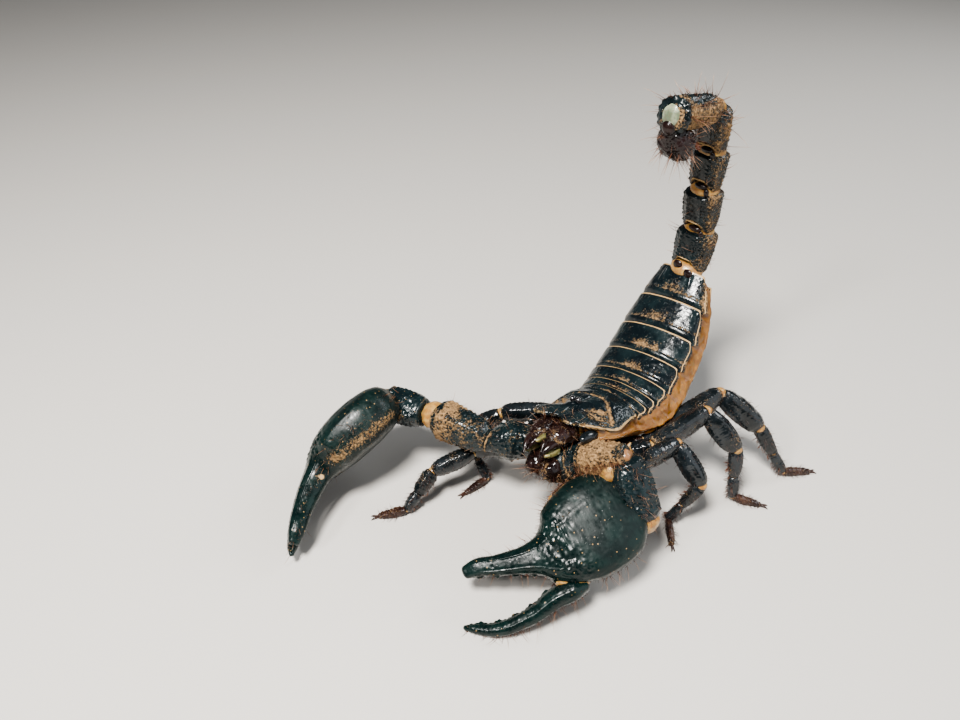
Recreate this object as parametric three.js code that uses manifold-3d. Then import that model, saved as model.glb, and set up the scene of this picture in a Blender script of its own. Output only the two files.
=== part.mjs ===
// A forest scorpion in its defensive stance, life size, in millimetres.
// The animal faces -Y, its left side is +X, and it stands on the plane z = 0.
// Every plate, limb segment and eye is one closed mesh, and neighbours keep a small gap.
import * as THREE from "three";
import { mergeVertices } from "three/addons/utils/BufferGeometryUtils.js";
import Module from "manifold-3d";

const wasm = await Module();
wasm.setup();

// ---------------------------------------------------------------- driving dimensions

const GAP = 0.3; // clearance between neighbouring pieces
const PLATE = 0.9; // thickness of a back or belly plate

// Middle of the carapace's rear edge. Its x and y centre the whole animal on the origin.
const BODY_POINT = new THREE.Vector3(3.494, 8.122, 22);
const PROSOMA = { pitch: -15, roll: 15 }; // nose up, left side up, in degrees
const TAIL_ROLL = 14; // left side up where the trunk meets the tail
const TAIL_YAW = 3; // the tail's plane turned to the animal's right

const CARAPACE = {
  length: 15.2, rearWidth: 16.8, frontWidth: 11.4, notch: 1.6,
  rearDrop: 3.4, frontDrop: 2.4, // how far the side margins hang below the crest
};
const EYE = { radius: 0.6, back: -8.8, apart: 1.35, tubercle: 0.5 };
const SNOUT = { out: 2.2, length: 8.6, width: 4.0, height: 3.7 }; // one chelicera

// The crest of the back follows one Bezier curve. Slopes and turns are in degrees.
const BACK = {
  run: 24.9, rise: 16.4, swerve: 3.5, // swerve is to the animal's right
  startSlope: -3, startHandle: 5.9, endSlope: 53, endYaw: 6, endHandle: 10.2,
};
const TERGITE_ENDS = [0, 0.09, 0.17, 0.283, 0.44, 0.613, 0.8, 1];
const TERGITE_WIDTHS = [16.2, 17.4, 17.9, 18.6, 18.0, 17.0, 15.1, 10.2];
const TERGITE_DROP = 0.39; // how far a plate's side hangs below its crest, per half width
const TRUNK_DEPTHS = [8.4, 10.0, 10.8, 10.6, 9.4, 6.8]; // evenly spaced along the back
// How far the soft flank stands out past the back plates, evenly spaced along the back.
const FLANK_BULGES = [0.6, 2.2, 2.6, 2.2, 1.5, 0.8, 0.2];

// Tail segments. Each turn is the segment's direction in the middle plane, in
// degrees from straight back, positive upwards.
const TAIL = [
  { length: 9.0, width: 7.8, height: 6.7, turn: 82 },
  { length: 8.9, width: 7.0, height: 6.2, turn: 97 },
  { length: 7.7, width: 6.4, height: 5.8, turn: 92 },
  { length: 8.5, width: 6.0, height: 5.5, turn: 105 },
  { length: 14.2, width: 5.6, height: 5.4, turn: 171 },
];
const TAIL_INSET = 3.0; // the tail's axis below the crest of the back
const VESICLE = { length: 8.6, width: 6.2, height: 5.8, turn: 317, below: 2.2 };
const STING = { length: 4.8, thickness: 1.9, turn: 352, curl: 30, above: 2.1 };

// Hips stand in a row beside the underside of the carapace. Lengths are per pair.
const HIP = { out: [6.2, 7.8, 8, 8], down: 9.6, back: [-9.6, -6, -1.8, 2.6] };
const LEGS = [
  { trochanter: 3.6, femur: 11.4, patella: 9.2, tibia: 9.2, foot: 5.8, thick: 2.7 },
  { trochanter: 4.6, femur: 10.4, patella: 9.2, tibia: 10.4, foot: 5.8, thick: 2.9 },
  { trochanter: 4.2, femur: 13.6, patella: 10, tibia: 11.2, foot: 5.8, thick: 3.2 },
  { trochanter: 4.4, femur: 15.4, patella: 11.4, tibia: 12.9, foot: 6.2, thick: 3.4 },
];

// Each leg's stance: azimuth from straight ahead towards its own side, and elevation,
// for trochanter, femur and patella, then the azimuths of tibia and foot. The
// tibia's elevation follows from the floor.
const STANCE = {
  leg_L1: [[-157, -45], [-11, -26], [36, -38], 67, 186],
  leg_L2: [[103, 7], [174, -3], [93, -43], -37, 45],
  leg_L3: [[144, 10], [168, 12], [112, -44], 64, 121],
  leg_L4: [[169, 14], [169, 13], [122, -37], 122, 145],
  leg_R1: [[66, -24], [42, -15], [20, -14], 0, 32],
  leg_R2: [[137, 56], [50, -11], [41, -37], -87, 5],
  leg_R3: [[108, 5], [179, -10], [152, -23], 150, 172],
  leg_R4: [[147, 5], [173, 5], [155, -24], 156, 161],
};
const TOE_HEIGHT = 0.3;
const FOOT_SLOPE = 9; // the foot falls towards its toe, in degrees

// Claw arms. Directions are an azimuth from straight ahead towards the arm's own side and
// an elevation. roll turns the claw's outer edge down, curl is how far its fingertips bend
// under its plane, and shut turns the movable finger in, in degrees.
const ARM = { coxaOut: 4.2, coxaBack: -11.5, coxaDown: 8.5, femur: 12.7, patella: 12.2 };
const ARM_STANCE = {
  L: {
    coxa: 3.6, trochanter: [-35, -27], femur: [110, 31], patella: [87, -60],
    claw: [-20.5, -10.3], roll: 31, curl: 4, shut: 0,
  },
  R: {
    coxa: 11, trochanter: [47, -5], femur: [73, 3], patella: [72, -9],
    claw: [-4, -13], roll: 54, curl: 11.4, shut: 22,
  },
};

// The claw's outline in its own plane: distance along the axis from the wrist end,
// inner edge, outer edge and half thickness, for the hand with its fixed finger.
const HAND_OUTLINE = [
  [-2.2, -9.6, -3.4, 2.4], [-0.6, -12.4, -0.4, 3.9], [2.4, -14.2, 2.0, 4.9], [6.4, -14.3, 3.1, 5.2],
  [10.2, -13.1, 3.3, 5.0], [13.6, -11.4, 2.6, 4.4], [16.0, -9.3, 0.8, 3.6], [18.2, -7.8, -1.6, 2.8],
  [21.5, -7.5, -3.2, 2.3], [25.0, -8.0, -4.5, 1.9], [28.6, -8.6, -6.2, 1.3], [30.6, -7.9, -6.9, 0.6],
];
// The movable finger: distance along, middle line, half width and half thickness.
const FINGER_OUTLINE = [
  [12.6, 3.1, 1.0, 2.0], [15.0, 3.0, 2.1, 2.7], [18.4, 2.9, 2.1, 2.5], [22.2, 3.7, 1.75, 2.1],
  [26.6, 3.9, 1.45, 1.7], [30.0, 3.2, 1.2, 1.3], [32.6, 1.9, 0.85, 0.9], [34.0, 1.1, 0.4, 0.5],
];
const CURL_START = 8; // distance along the axis where a claw starts to bend under its plane
const WRIST = { along: -2.0, across: -3.2 };
const FINGER_HINGE = { along: 13.4, across: 2.6 };
const CLAW_LENGTH = FINGER_OUTLINE.at(-1)[0];

// ---------------------------------------------------------------- small helpers

const DEG = Math.PI / 180;
const LEFT = new THREE.Vector3(1, 0, 0);
const UP = new THREE.Vector3(0, 0, 1);
const mix = (a, b, t) => a + (b - a) * t;
const clamp01 = (t) => Math.min(1, Math.max(0, t));

// A unit vector from an azimuth (0 is straight ahead, positive to the left) and an elevation.
function heading(azimuth, elevation) {
  const a = azimuth * DEG, e = elevation * DEG;
  return new THREE.Vector3(Math.sin(a) * Math.cos(e), -Math.cos(a) * Math.cos(e), Math.sin(e));
}

// A unit vector that points back, turned up by turn and to the animal's right by yaw.
function tailDirection(turn, yaw = TAIL_YAW) {
  const t = turn * DEG, y = yaw * DEG;
  return new THREE.Vector3(-Math.sin(y) * Math.cos(t), Math.cos(y) * Math.cos(t), Math.sin(t));
}

// The point at distance d from p in direction v.
const step = (p, v, d) => p.clone().addScaledVector(v, d);

// Reads a value from an evenly spaced list at t from 0 to 1.
function along(list, t) {
  const x = clamp01(t) * (list.length - 1), i = Math.min(list.length - 2, Math.floor(x));
  return mix(list[i], list[i + 1], x - i);
}

// A frame of the body: columns are left, back and up, after a pitch in the middle
// plane and a roll about the back axis.
function bodyFrame(origin, pitch, roll) {
  const p = pitch * DEG, r = roll * DEG;
  const back = new THREE.Vector3(0, Math.cos(p), Math.sin(p));
  const flatUp = new THREE.Vector3(0, -Math.sin(p), Math.cos(p));
  const left = LEFT.clone().multiplyScalar(Math.cos(r)).addScaledVector(flatUp, Math.sin(r));
  const up = flatUp.multiplyScalar(Math.cos(r)).addScaledVector(LEFT, -Math.sin(r));
  return new THREE.Matrix4().makeBasis(left, back, up).setPosition(origin);
}

const place = (frame, x, y, z) => new THREE.Vector3(x, y, z).applyMatrix4(frame);

// ---------------------------------------------------------------- solids

// A closed mesh as a solid, with its faces turned outwards.
function solid(points, faces) {
  const geometry = new THREE.BufferGeometry().setFromPoints(points);
  geometry.setIndex(faces.flat());
  const merged = mergeVertices(geometry, 1e-4);
  const triVerts = new Uint32Array(merged.index.array);
  const p = merged.attributes.position;
  const corner = (i) => new THREE.Vector3().fromBufferAttribute(p, triVerts[i]);
  let volume = 0;
  for (let i = 0; i < triVerts.length; i += 3)
    volume += corner(i).dot(corner(i + 1).cross(corner(i + 2)));
  if (volume < 0) triVerts.reverse();
  return new wasm.Manifold(new wasm.Mesh({ numProp: 3, vertProperties: p.array, triVerts }));
}

// Joins rings of equal size into a solid, each end closed by a fan.
function rings(list) {
  const n = list[0].length, points = list.flat(), faces = [];
  for (let k = 0; k + 1 < list.length; k++)
    for (let i = 0; i < n; i++) {
      const a = k * n + i, b = k * n + ((i + 1) % n);
      faces.push([a, b, b + n], [a, b + n, a + n]);
    }
  for (const [start, turn] of [[0, false], [(list.length - 1) * n, true]]) {
    const centre = new THREE.Vector3();
    for (let i = 0; i < n; i++) centre.addScaledVector(points[start + i], 1 / n);
    points.push(centre);
    for (let i = 0; i < n; i++) {
      const a = start + i, b = start + ((i + 1) % n);
      faces.push(turn ? [a, b, points.length - 1] : [b, a, points.length - 1]);
    }
  }
  return solid(points, faces);
}

// A smooth limb through stations { at, wide, high, low }. side is the direction of
// its width, grow thickens it and lengthens both ends.
function limb(stations, side, sides, grow = 0, square = 2.4) {
  const last = stations.length - 1;
  return rings(stations.map((s, k) => {
    const before = stations[Math.max(0, k - 1)].at, after = stations[Math.min(last, k + 1)].at;
    const tangent = after.clone().sub(before).normalize();
    const across = (s.side ?? side).clone();
    across.addScaledVector(tangent, -across.dot(tangent)).normalize();
    const up = new THREE.Vector3().crossVectors(across, tangent);
    const at = step(s.at, tangent, k === 0 ? -grow : k === last ? grow : 0);
    return [...Array(sides).keys()].map((i) => {
      const a = ((i + 0.5) / sides) * 2 * Math.PI, c = Math.cos(a), d = Math.sin(a);
      const x = Math.sign(c) * Math.abs(c) ** (2 / square) * (s.wide + grow);
      const tall = d > 0 ? s.high : (s.low ?? s.high);
      const y = Math.sign(d) * Math.abs(d) ** (2 / square) * (tall + grow);
      return at.clone().addScaledVector(across, x).addScaledVector(up, y);
    });
  }));
}

// A plate between two surfaces over u from -1 to 1 and v from 0 to 1.
function plate(top, bottom, nu, nv) {
  const points = [], faces = [], row = nu + 1, sheet = row * (nv + 1);
  for (const surface of [top, bottom])
    for (let j = 0; j <= nv; j++)
      for (let i = 0; i <= nu; i++) points.push(surface((2 * i) / nu - 1, j / nv));
  const quad = (a, b, c, d) => faces.push([a, b, c], [a, c, d]);
  for (let j = 0; j < nv; j++)
    for (let i = 0; i < nu; i++) {
      const a = j * row + i;
      quad(a, a + 1, a + row + 1, a + row);
      quad(sheet + a, sheet + a + row, sheet + a + row + 1, sheet + a + 1);
    }
  const rim = [];
  for (let i = 0; i < nu; i++) rim.push(i);
  for (let j = 0; j < nv; j++) rim.push(j * row + nu);
  for (let i = nu; i > 0; i--) rim.push(nv * row + i);
  for (let j = nv; j > 0; j--) rim.push(j * row);
  rim.forEach((a, k) => {
    const b = rim[(k + 1) % rim.length];
    quad(a, sheet + a, sheet + b, b);
  });
  return solid(points, faces);
}

// ---------------------------------------------------------------- body

const prosoma = bodyFrame(BODY_POINT, PROSOMA.pitch, PROSOMA.roll);

// The crest of the back, from the carapace to the tail.
function backCurve() {
  const startTurn = tailDirection(BACK.startSlope, 0), endTurn = tailDirection(BACK.endSlope, BACK.endYaw);
  const end = BODY_POINT.clone().add(new THREE.Vector3(-BACK.swerve, BACK.run, BACK.rise));
  return new THREE.CubicBezierCurve3(BODY_POINT, step(BODY_POINT, startTurn, BACK.startHandle),
    step(end, endTurn, -BACK.endHandle), end);
}

// The trunk's frame at t from 0 to 1 along the back: left, back and up from the crest.
function trunkFrame(t) {
  const curve = backCurve(), back = curve.getTangent(clamp01(t));
  const level = new THREE.Vector3(back.y, -back.x, 0).normalize();
  const r = mix(PROSOMA.roll, TAIL_ROLL, clamp01(t)) * DEG;
  const up = new THREE.Vector3().crossVectors(level, back);
  const left = level.clone().multiplyScalar(Math.cos(r)).addScaledVector(up, Math.sin(r));
  up.multiplyScalar(Math.cos(r)).addScaledVector(level, -Math.sin(r));
  return new THREE.Matrix4().makeBasis(left, back, up).setPosition(curve.getPoint(clamp01(t)));
}

function tergiteWidth(t) {
  const i = Math.min(TERGITE_ENDS.length - 2, TERGITE_ENDS.findLastIndex((e) => e <= clamp01(t)));
  return mix(TERGITE_WIDTHS[i], TERGITE_WIDTHS[i + 1],
    (clamp01(t) - TERGITE_ENDS[i]) / (TERGITE_ENDS[i + 1] - TERGITE_ENDS[i]));
}

// Half the carapace's width at v from its rear edge to its front edge.
function carapaceHalf(v) {
  const taper = clamp01((v - 0.18) / 0.82);
  return 0.5 * mix(CARAPACE.rearWidth, CARAPACE.frontWidth, taper ** 1.25) * (1 - 0.04 * (1 - v) ** 6);
}

const marginDrop = (v) => mix(CARAPACE.rearDrop, CARAPACE.frontDrop, v);

function carapace(grow) {
  const surface = (u, v, z) => {
    const notch = CARAPACE.notch * Math.exp(-((u / 0.34) ** 2)) * v ** 4;
    const corner = 0.9 * Math.abs(u) ** 6 * (v - 0.5);
    const reach = mix(grow, -CARAPACE.length - grow, v) + notch + corner;
    return place(prosoma, u * (carapaceHalf(v) + grow), reach, z);
  };
  const dome = (u, v) => {
    const back = -CARAPACE.length * v;
    const bump = EYE.tubercle * Math.exp(-((u / 0.22) ** 2) - (((back - EYE.back) / 1.6) ** 2));
    return (PLATE - marginDrop(v)) * Math.abs(u) ** 2.5 - 1.2 * v ** 1.5 * (1 - u * u) + bump;
  };
  return plate((u, v) => surface(u, v, dome(u, v) + grow),
    (u, v) => surface(u, v, -marginDrop(v) - grow), 10, 7);
}

// The fused hips and breastbone under the carapace.
function underside(grow) {
  const z = -CARAPACE.rearDrop - GAP;
  const rows = [
    [3.0, 3.0, 2.4], [1.2, 6.2, 4.0], [-4, 6.9, 4.6], [-9, 6.3, 4.5], [-12.5, 4.6, 3.8], [-14.2, 2.8, 2.4],
  ];
  return limb(rows.map(([y, wide, low]) => ({ at: place(prosoma, 0, y, z - 0.4), wide, high: 0.35, low })),
    LEFT, 10, grow, 2.6);
}

function eye(side, grow) {
  const across = side * EYE.apart * 0.5, r = EYE.radius + grow;
  const at = place(prosoma, across, EYE.back, EYE.tubercle - 0.1);
  const ball = new THREE.IcosahedronGeometry(r, 1).translate(at.x, at.y, at.z);
  ball.deleteAttribute("normal");
  ball.deleteAttribute("uv");
  const welded = mergeVertices(ball, 1e-4), p = welded.attributes.position;
  const points = [...Array(p.count).keys()].map((i) => new THREE.Vector3().fromBufferAttribute(p, i));
  return solid(points, [Array.from(welded.index.array)]);
}

// One of the two short jaws in front of the mouth.
function chelicera(side, grow) {
  const rows = [[0, 0.75], [0.12, 0.95], [0.45, 1], [0.68, 0.82], [0.85, 0.5], [1, 0.2]];
  return limb(rows.map(([t, k]) => ({
    at: place(prosoma, side * (SNOUT.out - 0.5 * t), -11.8 - SNOUT.length * t,
      -CARAPACE.frontDrop - 1.7 - 2.0 * t * t),
    wide: 0.5 * SNOUT.width * k, high: 0.5 * SNOUT.height * k, low: 0.5 * SNOUT.height * k,
  })), LEFT, 8, grow);
}

// A back plate's cross-section: the share of its half width reached at u from -1 to 1,
// and how far it has dropped below the crest there.
const ARCH = 62 * DEG;
const archAcross = (u) => Math.sin(u * ARCH) / Math.sin(ARCH);
const plateDrop = (half, u) => (TERGITE_DROP * half * (1 - Math.cos(u * ARCH))) / (1 - Math.cos(ARCH));

function tergite(i, grow) {
  const trim = GAP / 2 / (BACK.run + BACK.rise) / 0.8;
  const [t0, t1] = [TERGITE_ENDS[i] + trim, TERGITE_ENDS[i + 1] - trim];
  const surface = (u, v, lift) => {
    const pinch = 0.12 * Math.abs(u) ** 5 * (1 - 2 * v) * (t1 - t0);
    const t = mix(t0, t1, v) + pinch, half = 0.5 * tergiteWidth(t) + grow;
    return place(trunkFrame(t), half * archAcross(u), mix(-grow, grow, v), lift - plateDrop(half, u));
  };
  return plate((u, v) => surface(u, v, grow), (u, v) => surface(u * 0.985, v, -PLATE - grow),
    10, i < 3 ? 2 : 3);
}

// The soft body between back plates and belly plates. Its top follows the plates'
// inner side, then the flanks bulge out past them and round under the belly.
function flanks(grow) {
  const archPoints = 7, sidePoints = 9;
  return rings([0, 0.08, 0.18, 0.3, 0.44, 0.6, 0.76, 0.9, 0.985].map((t, k, all) => {
    const frame = trunkFrame(t), depth = along(TRUNK_DEPTHS, t), half = 0.5 * tergiteWidth(t);
    const side = half + along(FLANK_BULGES, t) + grow, inner = half - 0.4;
    const skin = -PLATE - 2.5 * GAP, shoulder = skin - plateDrop(inner, 1);
    const end = k === 0 ? -grow : k === all.length - 1 ? grow : 0;
    const arch = [...Array(archPoints).keys()].map((i) => {
      const u = (2 * i) / (archPoints - 1) - 1;
      return place(frame, (inner + grow) * archAcross(u), end, skin - plateDrop(inner, u) + grow);
    });
    const under = [...Array(sidePoints).keys()].map((i) => {
      const a = Math.PI * mix(-0.06, 1.06, i / (sidePoints - 1));
      const low = 0.5 * (depth + shoulder), middle = shoulder - low;
      return place(frame, side * Math.cos(a), end, middle - (low + grow) * Math.sin(a));
    });
    return [...arch, ...under];
  }));
}

// The plated underside of the trunk.
function belly(grow) {
  const surface = (u, v, lift) => {
    const t = mix(0.1, 0.97, v), frame = trunkFrame(t), depth = along(TRUNK_DEPTHS, t);
    const half = 0.42 * tergiteWidth(t) + grow;
    return place(frame, u * half, mix(-grow, grow, v), -depth + 1.3 * u * u + lift);
  };
  return plate((u, v) => surface(u, v, 0.35 + grow), (u, v) => surface(u, v, 0.35 - PLATE - grow), 6, 7);
}

// A comb organ behind the last hips.
function pectine(side, grow) {
  const surface = (u, v, lift) =>
    place(prosoma, side * (1.0 + 7.2 * v), 1.6 + 2.4 * v + (1.25 * (1 - 0.4 * v) + grow) * u,
      -CARAPACE.rearDrop - 7.2 + 1.4 * v + lift);
  const stretch = (v) => mix(-0.03, 1.03, v);
  return plate((u, v) => surface(u, stretch(v), grow), (u, v) => surface(u, stretch(v), -0.8 - grow), 2, 5);
}

// ---------------------------------------------------------------- tail

const tailJoints = [place(trunkFrame(1), 0, 0.3, -TAIL_INSET)];
for (const { length, turn } of TAIL) tailJoints.push(step(tailJoints.at(-1), tailDirection(turn), length));

const TAIL_PROFILE = [[0, 0.64], [0.12, 0.84], [0.4, 0.97], [0.85, 1], [0.97, 0.86], [1, 0.72]];

function tailSegment(i, grow) {
  const { length, width, height, turn } = TAIL[i], direction = tailDirection(turn);
  const rows = TAIL_PROFILE.map(([t, k]) => ({
    at: step(tailJoints[i], direction, mix(GAP / 2, length - GAP / 2, t)),
    wide: 0.5 * width * k, high: 0.5 * height * k,
  }));
  return limb(rows, LEFT, 12, grow, 3.2);
}

const telsonStart = step(tailJoints.at(-1), UP, -VESICLE.below);

function vesicle(grow) {
  const rows = [[0, 0.36], [0.1, 0.62], [0.3, 0.94], [0.5, 1], [0.72, 0.85], [0.9, 0.55], [1, 0.34]];
  const direction = tailDirection(VESICLE.turn);
  return limb(rows.map(([t, k]) => ({
    at: step(telsonStart, direction, mix(GAP, VESICLE.length, t)),
    wide: 0.5 * VESICLE.width * k, high: 0.5 * VESICLE.height * k,
  })), LEFT, 12, grow, 2.1);
}

function sting(grow) {
  const start = step(telsonStart, tailDirection(VESICLE.turn), VESICLE.length + GAP);
  const rows = [[0, 0.5], [0.25, 0.42], [0.5, 0.34], [0.75, 0.28], [1, 0.26]];
  let at = step(start, UP, STING.above);
  return limb(rows.map(([t, k], n) => {
    if (n) at = step(at, tailDirection(STING.turn - STING.curl * t), STING.length / 4);
    return { at, wide: STING.thickness * k, high: STING.thickness * k };
  }), LEFT, 8, grow, 2);
}

// ---------------------------------------------------------------- legs

// The joints of one leg, hip first. The foot's toe lies at the floor.
function legJoints(name) {
  const side = name[4] === "L" ? 1 : -1, pair = Number(name[5]) - 1, sizes = LEGS[pair];
  const [trochanter, femur, patella, tibiaAzimuth, footAzimuth] = STANCE[name];
  const joints = [place(prosoma, side * HIP.out[pair], HIP.back[pair], -HIP.down)];
  const go = (azimuth, elevation, length) =>
    joints.push(step(joints.at(-1), heading(side * azimuth, elevation), length));
  go(...trochanter, sizes.trochanter);
  go(...femur, sizes.femur);
  go(...patella, sizes.patella);
  const ankle = TOE_HEIGHT + sizes.foot * Math.sin(FOOT_SLOPE * DEG);
  go(tibiaAzimuth, -Math.asin((joints.at(-1).z - ankle) / sizes.tibia) / DEG, sizes.tibia);
  go(footAzimuth, -FOOT_SLOPE, sizes.foot);
  return { joints, side, sizes };
}

// Rows of [share of the way, half width, half height] between two joints.
function between(a, b, rows, thick, trim = GAP / 2) {
  const direction = b.clone().sub(a).normalize(), length = a.distanceTo(b);
  return rows.map(([t, wide, high]) => ({
    at: step(a, direction, mix(trim, length - trim, t)), wide: wide * thick, high: high * thick,
  }));
}

const FEMUR_ROWS = [[0.2, 0.5, 0.6], [0.7, 0.55, 0.7], [0.95, 0.46, 0.58], [1, 0.3, 0.4]];
const PATELLA_ROWS = [
  [0, 0.3, 0.36], [0.12, 0.46, 0.56], [0.5, 0.56, 0.72], [0.85, 0.48, 0.6], [1, 0.3, 0.38],
];
const TIBIA_ROWS = [[0, 0.26, 0.3], [0.14, 0.36, 0.42], [0.5, 0.32, 0.36], [0.9, 0.24, 0.27]];
const FOOT_ROWS = [[0.08, 0.22, 0.24], [0.8, 0.19, 0.21], [1, 0.1, 0.15]];

function legPiece(name, part, grow) {
  const { joints, sizes } = legJoints(name);
  const [hip, knuckle, knee, ankleTop, ankle, toe] = joints, thick = sizes.thick;
  const plane = toe.clone().sub(hip).setZ(0).normalize();
  const side = new THREE.Vector3(-plane.y, plane.x, 0);
  const rows = {
    femur: [...between(hip, knuckle, [[0, 0.36, 0.42], [0.6, 0.46, 0.52]], thick),
      ...between(knuckle, knee, FEMUR_ROWS, thick)],
    patella: between(knee, ankleTop, PATELLA_ROWS, thick),
    shin: [...between(ankleTop, ankle, TIBIA_ROWS, thick), ...between(ankle, toe, FOOT_ROWS, thick, 0)],
  }[part];
  return limb(rows, side, 8, grow, 2.2);
}

// ---------------------------------------------------------------- claw arms

function armJoints(letter) {
  const side = letter === "L" ? 1 : -1, stance = ARM_STANCE[letter];
  const turn = ([azimuth, elevation]) => heading(side * azimuth, elevation);
  const coxa = place(prosoma, side * ARM.coxaOut, ARM.coxaBack, -ARM.coxaDown);
  const shoulder = step(coxa, turn(stance.trochanter), stance.coxa);
  const elbow = step(shoulder, turn(stance.femur), ARM.femur);
  const wrist = step(elbow, turn(stance.patella), ARM.patella);
  const axis = turn(stance.claw);
  const level = new THREE.Vector3(-axis.y, axis.x, 0).normalize().multiplyScalar(side);
  const outer = level.multiplyScalar(Math.cos(stance.roll * DEG));
  outer.addScaledVector(new THREE.Vector3(0, 0, -1), Math.sin(stance.roll * DEG));
  outer.addScaledVector(axis, -outer.dot(axis)).normalize();
  const origin = step(step(wrist, axis, -WRIST.along), outer, -WRIST.across);
  return { side, stance, coxa, shoulder, elbow, wrist, axis, outer, origin };
}

const TROCHANTER_ROWS = [[0, 2.4, 2.4], [0.4, 3.0, 3.2], [0.8, 3.1, 3.6], [1, 2.0, 2.6]];
const ARM_FEMUR_ROWS = [[0, 2.2, 2.6], [0.12, 3.0, 3.2], [0.5, 3.3, 3.3], [0.88, 3.6, 3.5], [1, 2.5, 2.6]];
const ARM_PATELLA_ROWS = [[0, 2.3, 2.4], [0.14, 2.9, 3.1], [0.5, 3.4, 3.5], [0.85, 3.4, 3.4], [1, 2.4, 2.4]];

function armPiece(letter, part, grow) {
  const arm = armJoints(letter);
  const flat = new THREE.Vector3().crossVectors(arm.elbow.clone().sub(arm.shoulder), UP).normalize();
  if (part === "trochanter")
    return limb(between(arm.coxa, arm.shoulder, TROCHANTER_ROWS, 1), flat, 12, grow, 2.2);
  if (part === "femur")
    return limb(between(arm.shoulder, arm.elbow, ARM_FEMUR_ROWS, 1), flat, 12, grow, 2.8);
  if (part === "patella")
    return limb(between(arm.elbow, arm.wrist, ARM_PATELLA_ROWS, 1), arm.outer, 12, grow, 2.6);
  const under = new THREE.Vector3().crossVectors(arm.outer, arm.axis).multiplyScalar(arm.side);
  const inPlane = (x, y) => {
    const curl = arm.stance.curl * clamp01((x - CURL_START) / (CLAW_LENGTH - CURL_START)) ** 2;
    return step(step(step(arm.origin, arm.axis, x), arm.outer, y), under, curl);
  };
  if (part === "hand")
    return limb(HAND_OUTLINE.map(([x, inner, outer, high]) => ({
      at: inPlane(x, 0.5 * (inner + outer)), side: arm.outer, wide: 0.5 * (outer - inner), high,
    })), arm.outer, 12, grow, 2.3);
  const angle = arm.stance.shut * DEG, c = Math.cos(angle), s = Math.sin(angle);
  return limb(FINGER_OUTLINE.map(([x, y, wide, high]) => {
    const dx = x - FINGER_HINGE.along, dy = y - FINGER_HINGE.across;
    const x2 = FINGER_HINGE.along + dx * c + dy * s, y2 = FINGER_HINGE.across - dx * s + dy * c;
    return { at: inPlane(x2, y2), wide, high };
  }), arm.outer, 10, grow, 2.2);
}

// ---------------------------------------------------------------- the whole animal

const COLOURS = {
  shell: { color: 0x16201f, roughness: 0.3, metalness: 0 },
  claw: { color: 0x123a38, roughness: 0.32, metalness: 0 },
  soft: { color: 0xa8682a, roughness: 0.55, metalness: 0 },
  foot: { color: 0x2b1f1d, roughness: 0.4, metalness: 0 },
  eye: { color: 0x050505, roughness: 0.08, metalness: 0 },
};
const materials = Object.fromEntries(
  Object.entries(COLOURS).map(([name, values]) => [name, new THREE.MeshStandardMaterial(values)]));

// Every piece in order: a later piece gives way to the earlier ones it meets.
const pieces = [["carapace", "shell", carapace]];
TERGITE_WIDTHS.slice(1).forEach((_, i) => pieces.push([`tergite_${i + 1}`, "shell", (g) => tergite(i, g)]));
TAIL.forEach((_, i) => pieces.push([`tail_${i + 1}`, "shell", (g) => tailSegment(i, g)]));
pieces.push(["telson_vesicle", "shell", vesicle], ["telson_sting", "foot", sting]);
for (const [letter, side] of [["L", 1], ["R", -1]])
  pieces.push([`eye_${letter}`, "eye", (g) => eye(side, g)],
    [`chelicera_${letter}`, "foot", (g) => chelicera(side, g)]);
for (const letter of ["L", "R"])
  for (const part of ["hand", "finger", "patella", "femur", "trochanter"])
    pieces.push([`pedipalp_${letter}_${part}`, "claw", (g) => armPiece(letter, part, g)]);
for (const name of Object.keys(STANCE))
  for (const part of ["femur", "patella", "shin"])
    pieces.push([`${name}_${part}`, part === "shin" ? "foot" : "shell", (g) => legPiece(name, part, g)]);
pieces.push(["belly_plates", "shell", belly]);
pieces.push(["pectine_L", "soft", (g) => pectine(1, g)], ["pectine_R", "soft", (g) => pectine(-1, g)]);
pieces.push(["coxae", "shell", underside], ["soft_body", "soft", flanks]);

const floor = rings([-20, 0].map((z) => [[-200, -200], [200, -200], [200, 200], [-200, 200]]
  .map(([x, y]) => new THREE.Vector3(x, y, z))));

function overlaps(a, b) {
  return [0, 1, 2].every((i) => a.min[i] < b.max[i] && b.min[i] < a.max[i]);
}

const scorpion = new THREE.Group();
const grown = [];
for (const [name, colour, shape] of pieces) {
  let body = shape(0).subtract(floor);
  const box = body.boundingBox();
  for (const other of grown) if (overlaps(box, other.boundingBox())) body = body.subtract(other);
  const largest = body.decompose().sort((a, b) => b.volume() - a.volume())[0];
  if (!largest) throw new Error(`${name} is cut away entirely`);
  grown.push(shape(GAP));
  const mesh = largest.getMesh();
  const geometry = new THREE.BufferGeometry();
  geometry.setAttribute("position", new THREE.BufferAttribute(new Float32Array(mesh.vertProperties), 3));
  geometry.setIndex(new THREE.BufferAttribute(new Uint32Array(mesh.triVerts), 1));
  const node = new THREE.Mesh(geometry, materials[colour]);
  node.name = name;
  scorpion.add(node);
}

export default scorpion;
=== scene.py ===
"""Looks of a forest scorpion in its defensive stance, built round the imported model.

Lengths are in millimetres and are turned into metres when a mesh is made. The animal
faces -Y, its left side is +X and +Z is up. Rounded pieces are grids of points: rows run
along a limb or plate, columns run round or across it."""

import math
from types import SimpleNamespace

import bpy
import numpy as np
from mathutils import Matrix, Vector


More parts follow.
